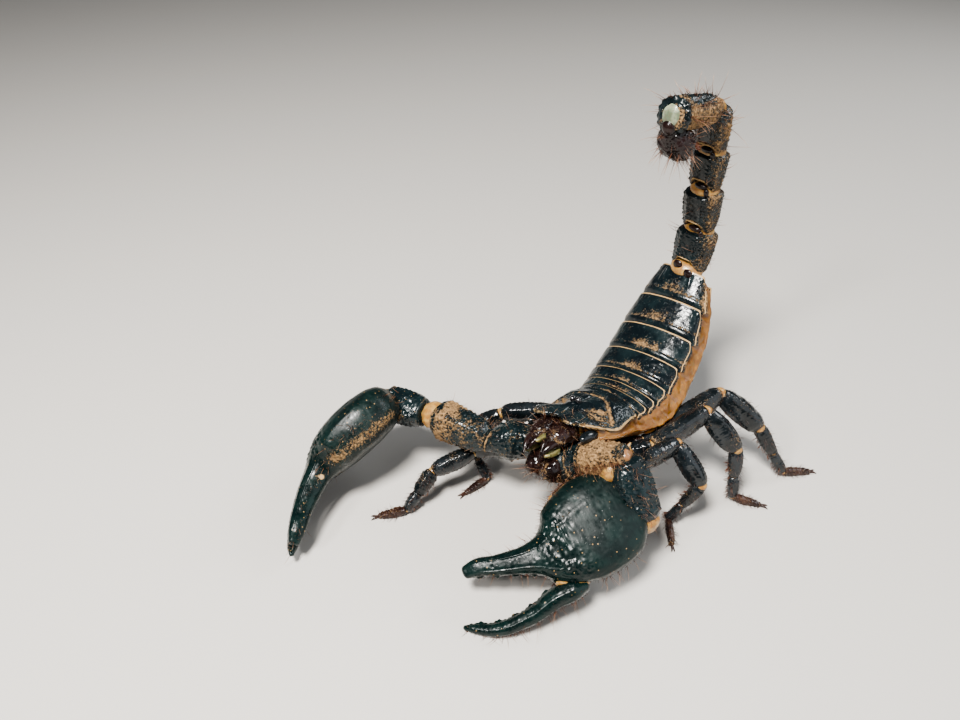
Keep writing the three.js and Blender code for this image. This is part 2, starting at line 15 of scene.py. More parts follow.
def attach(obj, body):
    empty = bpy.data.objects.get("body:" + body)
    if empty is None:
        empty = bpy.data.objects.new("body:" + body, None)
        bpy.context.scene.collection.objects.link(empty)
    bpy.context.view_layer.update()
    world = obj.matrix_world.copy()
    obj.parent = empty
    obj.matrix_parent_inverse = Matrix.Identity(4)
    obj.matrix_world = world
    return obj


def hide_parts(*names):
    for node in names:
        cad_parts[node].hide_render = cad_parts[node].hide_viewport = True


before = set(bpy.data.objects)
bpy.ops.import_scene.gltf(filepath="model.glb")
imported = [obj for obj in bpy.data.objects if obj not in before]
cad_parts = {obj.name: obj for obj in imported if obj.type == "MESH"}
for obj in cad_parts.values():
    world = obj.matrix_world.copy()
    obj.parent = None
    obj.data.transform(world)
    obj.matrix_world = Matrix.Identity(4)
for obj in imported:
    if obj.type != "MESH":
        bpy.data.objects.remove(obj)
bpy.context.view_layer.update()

MM = 0.001
DEG = math.pi / 180

# ---------------------------------------------------------------- driving dimensions

GAP = 0.3
PLATE = 0.9
BODY_POINT = np.array([3.494, 8.122, 22.0])
PROSOMA = SimpleNamespace(pitch=-15, roll=15)
TAIL_ROLL = 14
TAIL_YAW = 3

CARAPACE = SimpleNamespace(
    length=15.2, rear_width=17.3, front_width=11.4, notch=1.6, rear_drop=3.4, front_drop=2.4)
EYE = SimpleNamespace(radius=0.6, back=-8.8, apart=1.35, tubercle=0.5)
SNOUT = SimpleNamespace(out=2.2, length=8.6, width=4.0, height=3.7)

BACK = SimpleNamespace(
    run=24.9, rise=16.4, swerve=3.5, start_slope=-3, start_handle=5.9,
    end_slope=53, end_yaw=6, end_handle=10.2)
TERGITE_ENDS = [0, 0.09, 0.17, 0.283, 0.44, 0.613, 0.8, 1]
TERGITE_WIDTHS = [16.2, 17.5, 18.1, 18.8, 18.5, 18.1, 15.8, 11.3]
TERGITE_DROP = 0.39
TRUNK_DEPTHS = [8.4, 10.0, 10.8, 10.6, 9.4, 6.8]
FLANK_BULGES = [0.7, 1.6, 1.2, 0.4, 0.1, -0.3, -1.3]

# Tail segments: length, width, height and direction in degrees from straight back.
TAIL = [(9.0, 7.8, 6.7, 82), (8.9, 7.0, 6.2, 97), (7.7, 6.4, 5.8, 92), (8.5, 6.0, 5.5, 105),
        (14.2, 5.6, 5.4, 171)]
TAIL_INSET = 3.0
VESICLE = SimpleNamespace(length=8.6, width=6.2, height=5.8, turn=317, below=2.2)
STING = SimpleNamespace(length=4.8, thickness=1.9, turn=352, curl=30, above=2.1)

HIP = SimpleNamespace(out=[6.2, 7.8, 8, 8], down=9.6, back=[-9.6, -6, -1.8, 2.6])
# Leg pairs: trochanter, femur, patella, tibia, foot and thickness.
LEGS = [(3.6, 11.4, 9.2, 9.2, 5.8, 2.7), (4.6, 10.4, 9.2, 10.4, 5.8, 2.9),
        (4.2, 13.6, 10, 11.2, 5.8, 3.2), (4.4, 15.4, 11.4, 12.9, 6.2, 3.4)]
# Each leg's azimuth and elevation for trochanter, femur and patella, then the azimuths
# of tibia and foot.
STANCE = {
    "L1": [(-157, -45), (-11, -26), (36, -38), 67, 186],
    "L2": [(103, 7), (174, -3), (93, -43), -37, 45],
    "L3": [(144, 10), (168, 12), (112, -44), 64, 121],
    "L4": [(169, 14), (169, 13), (122, -37), 122, 145],
    "R1": [(66, -24), (42, -15), (20, -14), 0, 32],
    "R2": [(137, 56), (50, -11), (41, -37), -87, 5],
    "R3": [(108, 5), (179, -10), (152, -23), 150, 172],
    "R4": [(147, 5), (173, 5), (155, -24), 156, 161],
}
# The photograph's camera: its place from the body point, and from the floor in height, the
# azimuth and elevation that it looks along, and its focal length.
CAMERA = SimpleNamespace(stand=(65.5, -91.5, 115.5), azimuth=228, elevation=-38, lens=27.75)

TOE_HEIGHT = 0.3
FOOT_SLOPE = 9

ARM = SimpleNamespace(coxa_out=4.2, coxa_back=-11.5, coxa_down=8.5, femur=12.7, patella=12.2)
ARM_STANCE = {
    "L": SimpleNamespace(coxa=3.6, trochanter=(-35, -27), femur=(110, 31), patella=(87, -60),
                         claw=(-20.5, -10.3), roll=31, curl=4, shut=0),
    "R": SimpleNamespace(coxa=11, trochanter=(47, -5), femur=(73, 3), patella=(72, -9),
                         claw=(-4, -13), roll=54, curl=11.4, shut=22),
}
# The hand with its fixed finger: distance along, inner edge, outer edge, half thickness.
HAND_OUTLINE = [
    (-2.2, -9.6, -3.4, 2.4), (-0.6, -12.4, -0.4, 3.9), (2.4, -14.2, 2.0, 4.9), (6.4, -14.3, 3.1, 5.2),
    (10.2, -13.1, 3.3, 5.0), (13.6, -11.4, 2.6, 4.4), (16.0, -9.3, 0.8, 3.6), (18.2, -7.8, -1.6, 2.8),
    (21.5, -7.5, -3.2, 2.3), (25.0, -8.0, -4.5, 1.9), (28.6, -8.9, -5.8, 1.6), (30.3, -8.5, -6.2, 1.1)]
# The movable finger: distance along, middle line, half width, half thickness.
FINGER_OUTLINE = [
    (12.6, 3.1, 1.0, 2.0), (15.0, 2.9, 1.9, 2.6), (18.4, 2.9, 1.8, 2.4), (22.2, 3.7, 1.5, 2.0),
    (26.6, 3.9, 1.3, 1.6), (30.0, 3.2, 1.1, 1.3), (32.6, 1.9, 0.8, 0.9), (34.0, 1.1, 0.45, 0.5)]
CURL_START = 8
CLAW_LENGTH = FINGER_OUTLINE[-1][0]
WRIST = SimpleNamespace(along=-2.0, across=-3.2)
FINGER_HINGE = SimpleNamespace(along=13.4, across=2.6)

LEFT = np.array([1.0, 0.0, 0.0])
UP = np.array([0.0, 0.0, 1.0])

# ---------------------------------------------------------------- numbers and places


def mix(a, b, t):
    return a + (b - a) * t


def smooth(low, high, x):
    """0 below low, 1 above high, and a smooth step between."""
    t = np.clip((x - low) / (high - low), 0, 1)
    return t * t * (3 - 2 * t)


def window(start, full, fade, end, x):
    """0 up to start, 1 from full to fade, and 0 again from end on."""
    return smooth(start, full, x) * (1 - smooth(fade, end, x))


def bell(x, width):
    return np.exp(-((x / width) ** 2))


def unit(v):
    return v / np.linalg.norm(v, axis=-1, keepdims=True)


def even(values, t):
    """Reads an evenly spaced list at t from 0 to 1."""
    return np.interp(np.clip(t, 0, 1), np.linspace(0, 1, len(values)), values)


def monotone(x, y, q):
    """A smooth curve through the points (x, y) that never overshoots them, read at q."""
    x, y = np.asarray(x, float), np.asarray(y, float)
    h = np.diff(x)
    d = np.diff(y) / h
    slope = np.concatenate([d[:1], np.zeros(len(d) - 1), d[-1:]])
    for k in range(1, len(d)):
        if d[k - 1] * d[k] > 0:
            a, b = 2 * h[k] + h[k - 1], h[k] + 2 * h[k - 1]
            slope[k] = (a + b) / (a / d[k - 1] + b / d[k])
    q = np.clip(q, x[0], x[-1])
    k = np.clip(np.searchsorted(x, q, side="right") - 1, 0, len(h) - 1)
    s = (q - x[k]) / h[k]
    return (y[k] * (1 + 2 * s) * (1 - s) ** 2 + slope[k] * h[k] * s * (1 - s) ** 2
            + y[k + 1] * s * s * (3 - 2 * s) + slope[k + 1] * h[k] * s * s * (s - 1))


def heading(azimuth, elevation):
    """A unit vector: azimuth 0 is straight ahead, positive to the left."""
    a, e = azimuth * DEG, elevation * DEG
    return np.array([math.sin(a) * math.cos(e), -math.cos(a) * math.cos(e), math.sin(e)])


def tail_direction(turn, yaw=TAIL_YAW):
    """A unit vector that points back, turned up by turn and to the animal's right by yaw."""
    t, y = turn * DEG, yaw * DEG
    return np.array([-math.sin(y) * math.cos(t), math.cos(y) * math.cos(t), math.sin(t)])


def body_frame(origin, pitch, roll):
    p, r = pitch * DEG, roll * DEG
    back = np.array([0, math.cos(p), math.sin(p)])
    flat_up = np.array([0, -math.sin(p), math.cos(p)])
    return SimpleNamespace(
        origin=origin, back=back, left=LEFT * math.cos(r) + flat_up * math.sin(r),
        up=flat_up * math.cos(r) - LEFT * math.sin(r))


def trunk_frame(t):
    """Frames at t from 0 to 1 along the crest of the back: left, back and up."""
    t = np.clip(np.asarray(t, float), 0, 1)[..., None]
    end = BODY_POINT + np.array([-BACK.swerve, BACK.run, BACK.rise])
    p = [BODY_POINT, BODY_POINT + tail_direction(BACK.start_slope, 0) * BACK.start_handle,
         end - tail_direction(BACK.end_slope, BACK.end_yaw) * BACK.end_handle, end]
    s = 1 - t
    origin = s ** 3 * p[0] + 3 * s * s * t * p[1] + 3 * s * t * t * p[2] + t ** 3 * p[3]
    back = unit(s * s * (p[1] - p[0]) + 2 * s * t * (p[2] - p[1]) + t * t * (p[3] - p[2]))
    level = unit(np.stack([back[..., 1], -back[..., 0], 0 * back[..., 0]], -1))
    up = np.cross(level, back)
    r = mix(PROSOMA.roll, TAIL_ROLL, t) * DEG
    return SimpleNamespace(origin=origin, back=back, left=level * np.cos(r) + up * np.sin(r),
                           up=up * np.cos(r) - level * np.sin(r))


def place(f, x, y, z):
    x, y, z = (np.asarray(a, float)[..., None] for a in (x, y, z))
    return f.origin + f.left * x + f.back * y + f.up * z


prosoma = body_frame(BODY_POINT, PROSOMA.pitch, PROSOMA.roll)
BODY_AXES = [prosoma.left, prosoma.back, prosoma.up]
LETTERS = {1: "L", -1: "R"}


def on_body(x, y, z):
    """The point x to the left of the middle of the carapace's rear edge, y behind it and z above."""
    return place(prosoma, x, y, z)


# ---------------------------------------------------------------- noise and grains


# Big odd factors that scramble a cell's three numbers and the seed.
SEED_FACTOR = 26544357
CELL_FACTORS = (73856093, 19349663, 83492791)
SCRAMBLES = ((13, 12741261), (15, 22695477))


def chance(cells, seed):
    """A repeatable number from 0 to 1 for each whole-number cell."""
    h = (seed + 1) * SEED_FACTOR
    for axis, factor in enumerate(CELL_FACTORS):
        h = h ^ cells[..., axis] * factor
    for shift, factor in SCRAMBLES:
        h = ((h ^ (h >> shift)) * factor) & 0xFFFFFFFF
    return ((h ^ (h >> 16)) & 0xFFFFF) / 0xFFFFF


TILT = np.array([[0.36, 0.48, -0.8], [-0.8, 0.6, 0.0], [0.48, 0.64, 0.6]])


def noise(points, size, seed=0):
    """Smooth noise from about -1 to 1 with features of one size, from two lattices."""
    straight = np.asarray(points) / size
    return 0.7 * (lattice_noise(straight + 1000, seed) + lattice_noise(straight @ TILT + 1500, seed + 7))


def lattice_noise(q, seed):
    cell = np.floor(q).astype(np.int64)
    f = q - cell
    f = f * f * (3 - 2 * f)
    total = 0
    for corner in np.ndindex(2, 2, 2):
        c = np.array(corner)
        weight = np.prod(np.where(c == 1, f, 1 - f), axis=-1)
        total = total + weight * chance(cell + c, seed)
    return 2 * total - 1


def grains(points, size, seed=0, radius=0.55):
    """Round grains from 0 to 1, one in each cell of a jittered grid."""
    q = np.asarray(points) @ TILT / size + 1000
    cell = np.floor(q).astype(np.int64)
    best = np.zeros(q.shape[:-1])
    for corner in np.ndindex(3, 3, 3):
        c = cell + np.array(corner) - 1
        middle = c + 0.15 + 0.7 * np.stack([chance(c, seed + k) for k in range(3)], -1)
        best = np.maximum(best, 1 - (np.linalg.norm(q - middle, axis=-1) / radius) ** 2)
    return np.sqrt(np.clip(best, 0, 1))


# ---------------------------------------------------------------- grids and meshes


def grid_normals(points, wrap):
    """Unit normals of a grid: rows run along axis 0 and columns along axis 1."""
    along = np.gradient(points, axis=0)
    if wrap:
        across = np.roll(points, -1, axis=1) - np.roll(points, 1, axis=1)
    else:
        across = np.gradient(points, axis=1)
    n = np.cross(along, across)
    return n / np.maximum(np.linalg.norm(n, axis=-1, keepdims=True), 1e-9)


def shape(points, quads, tris, **layers):
    """A mesh in the making. Layers are values per point, such as mud and pale."""
    points = np.asarray(points, float).reshape(-1, 3)
    full = {k: np.broadcast_to(np.asarray(v, float), (len(points),)) for k, v in layers.items()}
    return SimpleNamespace(points=points, quads=np.asarray(quads, int).reshape(-1, 4),
                           tris=np.asarray(tris, int).reshape(-1, 3), layers=full)


def outward(made):
    """Turns a closed shape's faces outwards."""
    middle = made.points.mean(0)
    a, b, c, d = (made.points[made.quads[:, k]] - middle for k in range(4))
    volume = np.sum(a * np.cross(b, c)) + np.sum(a * np.cross(c, d))
    if volume < 0:
        made.quads = made.quads[:, ::-1]
        made.tris = made.tris[:, ::-1]
    return made


def join(shapes):
    """Several shapes as one."""
    start = np.cumsum([0] + [len(s.points) for s in shapes])
    names = sorted(set(n for s in shapes for n in s.layers))
    blank = [{n: s.layers.get(n, np.zeros(len(s.points))) for n in names} for s in shapes]
    return shape(np.concatenate([s.points for s in shapes]),
                 np.concatenate([s.quads + k for s, k in zip(shapes, start)]),
                 np.concatenate([s.tris + k for s, k in zip(shapes, start)]),
                 **{n: np.concatenate([b[n] for b in blank]) for n in names})


def tube(points, **layers):
    """A closed shape from rings of points, each end closed by a fan."""
    rows, n, _ = points.shape
    ring = np.arange(n)
    after = (ring + 1) % n
    quads = [np.stack([k * n + ring, k * n + n + ring, k * n + n + after, k * n + after], -1)
             for k in range(rows - 1)]
    ends = np.stack([points[0].mean(0), points[-1].mean(0)])
    last = rows * n
    tris = [np.stack([np.full(n, last), ring, after], -1),
            np.stack([np.full(n, last + 1), after + last - n, ring + last - n], -1)]
    flat = {}
    for name, value in layers.items():
        value = np.broadcast_to(value, (rows, n))
        flat[name] = np.concatenate([value.ravel(), [value[0].mean(), value[-1].mean()]])
    return outward(shape(np.concatenate([points.reshape(-1, 3), ends]), np.concatenate(quads),
                         np.concatenate(tris), **flat))


def sheet_shape(top, bottom, **layers):
    """A closed shape from two grids that share their border."""
    rows, cols, _ = top.shape
    upper = np.arange(rows * cols).reshape(rows, cols)
    lower = upper.copy()
    inner = (slice(1, -1), slice(1, -1))
    lower[inner] = rows * cols + np.arange((rows - 2) * (cols - 2)).reshape(rows - 2, cols - 2)

    def quads(ids, turned):
        q = np.stack([ids[:-1, :-1], ids[:-1, 1:], ids[1:, 1:], ids[1:, :-1]], -1).reshape(-1, 4)
        return q[:, ::-1] if turned else q

    flat = {}
    for name, value in layers.items():
        value = np.broadcast_to(value, (rows, cols))
        flat[name] = np.concatenate([value.ravel(), value[inner].ravel()])
    points = np.concatenate([top.reshape(-1, 3), bottom[inner].reshape(-1, 3)])
    return outward(shape(points, np.concatenate([quads(upper, False), quads(lower, True)]), [], **flat))


def plate(surface, up, rows, cols, thick=PLATE, v_range=(0, 1)):
    """A plate with round edges under surface(u, v), u from -1 to 1 and v along it.
    surface gives points, and a dict of layers. up is the side that it is under."""
    u = np.sin(np.linspace(-math.pi / 2, math.pi / 2, cols))[None, :]
    way = (0.5 - 0.5 * np.cos(np.linspace(0, math.pi, rows)))[:, None]
    v = mix(v_range[0], v_range[1], way)
    points, layers = surface(u + 0 * v, v + 0 * u)
    normals = grid_normals(points, False)
    normals = normals * np.sign(np.sum(normals @ up))
    rim = np.sqrt(np.clip((1 - np.abs(u) ** 14) * (1 - np.abs(2 * way - 1) ** 14), 0, 1))[..., None]
    top = points - normals * thick * 0.5 * (1 - rim)
    bottom = points - normals * thick * 0.5 * (1 + rim)
    return sheet_shape(top, bottom, **layers)


def sweep(stations, side, steps, sides, square=2.4, caps=(0.5, 0.5)):
    """Rings along stations (point, half width, half height).
    side is the direction of width; turn is the angle round a ring, 0 at side and a
    quarter turn at the back of the limb; run is the distance along it."""
    at = np.array([s[0] for s in stations], float)
    size = np.array([s[1:] for s in stations], float)
    before = np.concatenate([at[:1], at[:-1]])
    after = np.concatenate([at[1:], at[-1:]])
    tangent = unit(after - before)
    run = np.concatenate([[0], np.cumsum(np.linalg.norm(np.diff(at, axis=0), axis=1))])
    length = run[-1]
    bend = np.linspace(0.06, 1, 7) * math.pi / 2
    start, end = caps
    reach = np.cos(bend)
    s = np.concatenate([-start * reach[:-1], np.linspace(0, length, steps), length + end * reach[-2::-1]])
    shrink = np.concatenate([np.sin(bend)[:-1], np.ones(steps), np.sin(bend)[-2::-1]])

    def read(values):
        return np.stack([monotone(run, values[:, k], s) for k in range(values.shape[1])], -1)

    direction = unit(read(tangent))
    beyond = (np.minimum(s, 0) + np.maximum(s - length, 0))[:, None]
    centre = read(at) + direction * beyond
    across = unit(side - direction * np.sum(side * direction, -1, keepdims=True))
    back = np.cross(across, direction)
    wide, high = read(size).T * shrink
    turn = (np.arange(sides) + 0.5) / sides * 2 * math.pi
    c, d = np.cos(turn)[None, :], np.sin(turn)[None, :]
    x = np.sign(c) * np.abs(c) ** (2 / square) * wide[:, None]
    y = np.sign(d) * np.abs(d) ** (2 / square) * high[:, None]
    points = centre[:, None] + across[:, None] * x[..., None] + back[:, None] * y[..., None]
    return SimpleNamespace(
        points=points, turn=turn[None, :] + 0 * s[:, None], run=s[:, None] + 0 * turn[None, :],
        length=length, direction=direction, shrink=shrink[:, None])


def raise_skin(limb, height):
    """Lifts a limb's points along their normals."""
    limb.points = limb.points + grid_normals(limb.points, True) * (height * limb.shrink)[..., None]
    return limb


def away(turn, degrees):
    """The angle between turn and a direction round the limb, in radians."""
    return np.abs((turn - degrees * DEG + math.pi) % (2 * math.pi) - math.pi)


def ridge(limb, degrees, width):
    """1 along a line at an angle round the limb, fading over a width in radians."""
    return bell(away(limb.turn, degrees), width)


def ridges(limb, angles, width):
    return sum(ridge(limb, angle, width) for angle in angles)


def ball(centre, radii, axes=None, rows=10, sides=18, **layers):
    """An ellipsoid. axes are its three unit directions."""
    a = np.linspace(0.12, math.pi - 0.12, rows)[:, None]
    b = np.arange(sides)[None, :] / sides * 2 * math.pi
    unit_ball = np.stack([np.sin(a) * np.cos(b), np.sin(a) * np.sin(b), -np.cos(a) + 0 * b], -1)
    axes = np.eye(3) if axes is None else np.array(axes, float)
    return tube(np.asarray(centre) + (unit_ball * np.array(radii)) @ axes, **layers)


def rest_on_floor(points):
    """Keeps points above the floor."""
    points[..., 2] = np.maximum(points[..., 2], 0)
    return points


def make_piece(name, made, material, slot, *nodes):
    """A Blender object from a shape. It rides on the body and stands for the CAD nodes."""
    mesh = bpy.data.meshes.new(name)
    quads, tris = made.quads, made.tris
    mesh.vertices.add(len(made.points))
    mesh.vertices.foreach_set("co", (made.points * MM).astype(np.float32).ravel())
    corners = np.concatenate([quads.ravel(), tris.ravel()]).astype(np.int32)
    mesh.loops.add(len(corners))
    mesh.loops.foreach_set("vertex_index", corners)
    sizes = np.concatenate([np.full(len(quads), 4), np.full(len(tris), 3)])
    mesh.polygons.add(len(sizes))
    mesh.polygons.foreach_set("loop_start", np.concatenate([[0], np.cumsum(sizes)[:-1]]).astype(np.int32))
    mesh.update(calc_edges=True)
    mesh.polygons.foreach_set("use_smooth", np.ones(len(sizes), bool))
    for layer, values in made.layers.items():
        if layer not in ("atlas_x", "atlas_y"):
            mesh.attributes.new(layer, "FLOAT", "POINT").data.foreach_set("value", values.astype(np.float32))
    if "atlas_x" in made.layers:
        uv = np.stack([made.layers["atlas_x"][corners], made.layers["atlas_y"][corners]], -1)
        mesh.uv_layers.new(name="OFBake").data.foreach_set("uv", uv.astype(np.float32).ravel())
    mesh.materials.append(material)
    piece = bpy.data.objects.new(name, mesh)
    bpy.context.scene.collection.objects.link(piece)
    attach(piece, "root")
    if nodes:
        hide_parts(*nodes)


# ---------------------------------------------------------------- materials


class Nodes:
    """Short names for the shader nodes of one material."""

    def __init__(self, name):
        self.material = bpy.data.materials.new(name)
        self.material.use_nodes = True
        self.tree = self.material.node_tree
        self.shader = self.tree.nodes["Principled BSDF"]
        self.place = self.tree.nodes.new("ShaderNodeTexCoord").outputs["Object"]

    def add(self, kind, inputs, output=0, **settings):
        node = self.tree.nodes.new("ShaderNode" + kind)
        for key, value in settings.items():
            setattr(node, key, value)
        for key, value in inputs.items():
            if isinstance(value, bpy.types.NodeSocket):
                self.tree.links.new(value, node.inputs[key])
            else:
                node.inputs[key].default_value = value
        return node.outputs[output]

    def noise(self, size, detail=3.0, rough=0.55):
        """Noise from 0 to 1 with features of a size in millimetres."""
        return self.add("TexNoise", {"Vector": self.place, "Scale": 1 / (size * MM), "Detail": detail,
                                     "Roughness": rough})

    def cells(self, size):
        """The distance to the nearest grain of a size in millimetres."""
        return self.add("TexVoronoi", {"Vector": self.place, "Scale": 1 / (size * MM), "Randomness": 1.0})

    def attribute(self, name):
        return self.add("Attribute", {}, 2, attribute_name=name)

    def math(self, operation, a, b):
        return self.add("Math", {0: a, 1: b}, operation=operation)

    def plus(self, a, b, share):
        """a and a share of b."""
        return self.math("ADD", a, self.math("MULTIPLY", b, share))

    def sway(self, value, noise, amount):
        """A value moved up and down by a noise that lies round 0.5."""
        return self.plus(value, self.math("SUBTRACT", noise, 0.5), amount)

    def step(self, value, low, high, out_low=0.0, out_high=1.0):
        """A smooth step of value between low and high."""
        return self.add("MapRange", {"Value": value, "From Min": low, "From Max": high, "To Min": out_low,
                                     "To Max": out_high}, interpolation_type="SMOOTHSTEP")

    def blend(self, factor, a, b):
        """A mix of two colours."""
        return self.add("Mix", {0: factor, 6: a, 7: b}, 2, data_type="RGBA")

    def bump(self, height, distance):
        return self.add("Bump", {"Height": height, "Distance": distance * MM, "Strength": 1.0})

    def surface(self, color, roughness, normal=None, **constants):
        """Links what varies to the shader and sets what doesn't."""
        for key, value in (("Base Color", color), ("Roughness", roughness), ("Normal", normal)):
            if isinstance(value, bpy.types.NodeSocket):
                self.tree.links.new(value, self.shader.inputs[key])
            elif value is not None:
                self.shader.inputs[key].default_value = value
        for key, value in constants.items():
            self.shader.inputs[key.replace("_", " ")].default_value = value
        return self.material


def rgb(r, g, b):
    return (r, g, b, 1.0)


MUD = rgb(0.12, 0.07, 0.03)
PALE_MUD = rgb(0.3, 0.185, 0.085)
CREAM = rgb(0.42, 0.28, 0.14)


def horn(name, dark, light, mud_share=0.5, grain=0.3, shine=0.24, dots=0.0, mirror=0.42):
    """Glossy horn with mud where the mud layer says, and cream where the pale layer does.
    The satin layer dulls it."""
    n = Nodes(name)
    tint = n.step(n.noise(3.2), 0.38, 0.66)
    color = n.blend(tint, dark, light)
    color = n.blend(n.step(n.cells(1.15), 0.13, 0.08, 0.0, dots), color, PALE_MUD)
    crumbs = n.noise(0.4, 5.0, 0.72)
    patches = n.noise(2.6, 3.0)
    wanted = n.sway(n.sway(n.attribute("mud"), patches, 0.9), crumbs, 2.2)
    mud = n.step(wanted, mud_share - 0.1, mud_share + 0.35)
    color = n.blend(mud, color, n.blend(n.step(crumbs, 0.4, 0.65), MUD, PALE_MUD))
    pale = n.step(n.sway(n.attribute("pale"), crumbs, 0.5), 0.4, 0.62)
    color = n.blend(pale, color, CREAM)
    rough = n.add("MapRange", {"Value": n.noise(0.8, 3.0), "From Min": 0.3, "From Max": 0.7,
                               "To Min": shine - 0.07, "To Max": shine + 0.14})
    rough = n.plus(rough, n.attribute("satin"), 0.12)
    rough = n.math("MAXIMUM", rough, n.math("MULTIPLY", mud, 0.85))
    height = n.plus(n.math("MULTIPLY", n.noise(0.28, 2.0), grain), mud, 0.8)
    height = n.plus(height, n.math("MULTIPLY", crumbs, mud), 2.0)
    height = n.plus(height, n.step(n.cells(0.9), 0.05, 0.2), 0.4)
    normal = n.bump(height, 0.05)
    return n.surface(color, rough, normal, IOR=1.5, Specular_IOR_Level=mirror)


def skin_material():
    """Ochre flank skin: orange-brown with pale folds and a wet gloss."""
    n = Nodes("flank_skin")
    tone = n.blend(n.step(n.noise(5.0, 2.0), 0.35, 0.65), rgb(0.12, 0.046, 0.005), rgb(0.2, 0.085, 0.01))
    tone = n.blend(n.step(n.noise(1.1, 4.0), 0.52, 0.8), tone, rgb(0.26, 0.13, 0.025))
    tone = n.blend(n.step(n.attribute("pale"), 0.45, 1.9), tone, CREAM)
    dirt = n.sway(n.attribute("mud"), n.noise(0.7, 4.0), 1.2)
    tone = n.blend(n.step(dirt, 0.45, 0.8), tone, rgb(0.16, 0.075, 0.03))
    wrinkles = n.plus(n.noise(0.6, 3.0), n.noise(0.18, 2.0), 0.35)
    rough = n.step(n.noise(1.5, 3.0), 0.3, 0.7, 0.3, 0.5)
    return n.surface(tone, rough, n.bump(wrinkles, 0.12), IOR=1.45, Coat_Weight=0.6, Coat_Roughness=0.1,
                     Subsurface_Weight=0.2, Subsurface_Scale=0.0015)


def joint_material(name, deep, light):
    """Soft pale skin of the joints, browner in its creases."""
    n = Nodes(name)
    tone = n.blend(n.step(n.noise(1.2, 3.0), 0.35, 0.7), deep, light)
    dirt = n.sway(n.attribute("mud"), n.noise(0.5, 4.0), 1.0)
    tone = n.blend(n.step(dirt, 0.3, 0.7), tone, rgb(0.2, 0.1, 0.045))
    return n.surface(tone, 0.34, n.bump(n.noise(0.35, 3.0), 0.06), IOR=1.45, Coat_Weight=0.3,
                     Coat_Roughness=0.15, Subsurface_Weight=0.2, Subsurface_Scale=0.001)


def eye_material():
    n = Nodes("eye_lens")
    return n.surface(n.blend(n.noise(0.4, 1.0), rgb(0.004, 0.004, 0.005), rgb(0.012, 0.01, 0.012)), 0.05,
                     IOR=1.6, Coat_Weight=1.0, Coat_Roughness=0.03)


def bristle_material(name, root, tip):
    """Bristles: a dark reddish root and a paler tip, from the tip layer."""
    n = Nodes(name)
    color = n.blend(n.step(n.attribute("tip"), 0.1, 0.9), root, tip)
    color = n.blend(n.math("MULTIPLY", n.noise(1.0, 1.0), 0.4), color, rgb(0.05, 0.02, 0.01))
    return n.surface(color, 0.38, IOR=1.5)


SHELL = horn("shell_horn", rgb(0.003, 0.006, 0.008), rgb(0.008, 0.016, 0.018), grain=0.45, shine=0.17)
TAIL_HORN = horn("tail_horn", rgb(0.003, 0.006, 0.007), rgb(0.009, 0.016, 0.018), mud_share=0.45, grain=0.4,
                 shine=0.17)
LEG_HORN = horn("leg_horn", rgb(0.004, 0.006, 0.007), rgb(0.012, 0.016, 0.019), mud_share=0.55, grain=0.22,
                shine=0.13, mirror=0.55)
CLAW = horn("claw_horn", rgb(0.0015, 0.007, 0.0066), rgb(0.0035, 0.0135, 0.012), mud_share=0.52, grain=0.2,
            dots=0.8, mirror=0.36)
ARM_HORN = horn("arm_horn", rgb(0.003, 0.0075, 0.009), rgb(0.006, 0.0145, 0.0165), mud_share=0.52, grain=0.25,
                shine=0.2, dots=0.5)
FOOT = horn("foot_horn", rgb(0.014, 0.006, 0.005), rgb(0.05, 0.022, 0.014), mud_share=0.5, shine=0.26)
JAW = horn("jaw_horn", rgb(0.006, 0.003, 0.003), rgb(0.018, 0.008, 0.007), mud_share=0.6, shine=0.16)
SAC_HORN = horn("sac_horn", rgb(0.004, 0.003, 0.003), rgb(0.014, 0.007, 0.007), mud_share=0.6, shine=0.14)
FLANK = skin_material()
JOINT = joint_material("joint_skin", rgb(0.26, 0.125, 0.03), rgb(0.42, 0.255, 0.085))
PALE_DISC = joint_material("pale_disc", rgb(0.1, 0.12, 0.075), rgb(0.27, 0.29, 0.2))
MOUTH_SKIN = joint_material("mouth_skin", rgb(0.1, 0.09, 0.03), rgb(0.26, 0.24, 0.1))
STING_HORN = horn("sting_horn", rgb(0.12, 0.03, 0.015), rgb(0.2, 0.06, 0.03), mud_share=0.6)
LENS = eye_material()
BRISTLE = bristle_material("bristle", rgb(0.06, 0.02, 0.012), rgb(0.3, 0.13, 0.065))
DARK_BRISTLE = bristle_material("dark_bristle", rgb(0.03, 0.01, 0.008), rgb(0.13, 0.05, 0.03))
PALE_BRISTLE = bristle_material("pale_bristle", rgb(0.13, 0.045, 0.02), rgb(0.55, 0.32, 0.19))

# ---------------------------------------------------------------- carapace and eyes


def carapace_half(v):
    t = np.clip((v - 0.42) / 0.58, 0, 1) ** 1.1
    c = CARAPACE
    rounded = (1 - 0.05 * (1 - v) ** 6) * (1 - 0.2 * smooth(0.84, 1, v) ** 2)
    return 0.5 * mix(c.rear_width, c.front_width, t) * rounded


def carapace_height(u, v):
    """Height of the plain shield at u across and v from its rear edge to its front edge."""
    drop = mix(CARAPACE.rear_drop, CARAPACE.front_drop, v)
    bump = bell(u, 0.22) * bell(-CARAPACE.length * v - EYE.back, 1.6)
    skirt = 1.9 * bell(v - 0.45, 0.28) * np.abs(u) ** 4
    return (PLATE - drop) * np.abs(u) ** 2.5 - 1.2 * v ** 1.5 * (1 - u * u) - skirt + EYE.tubercle * bump


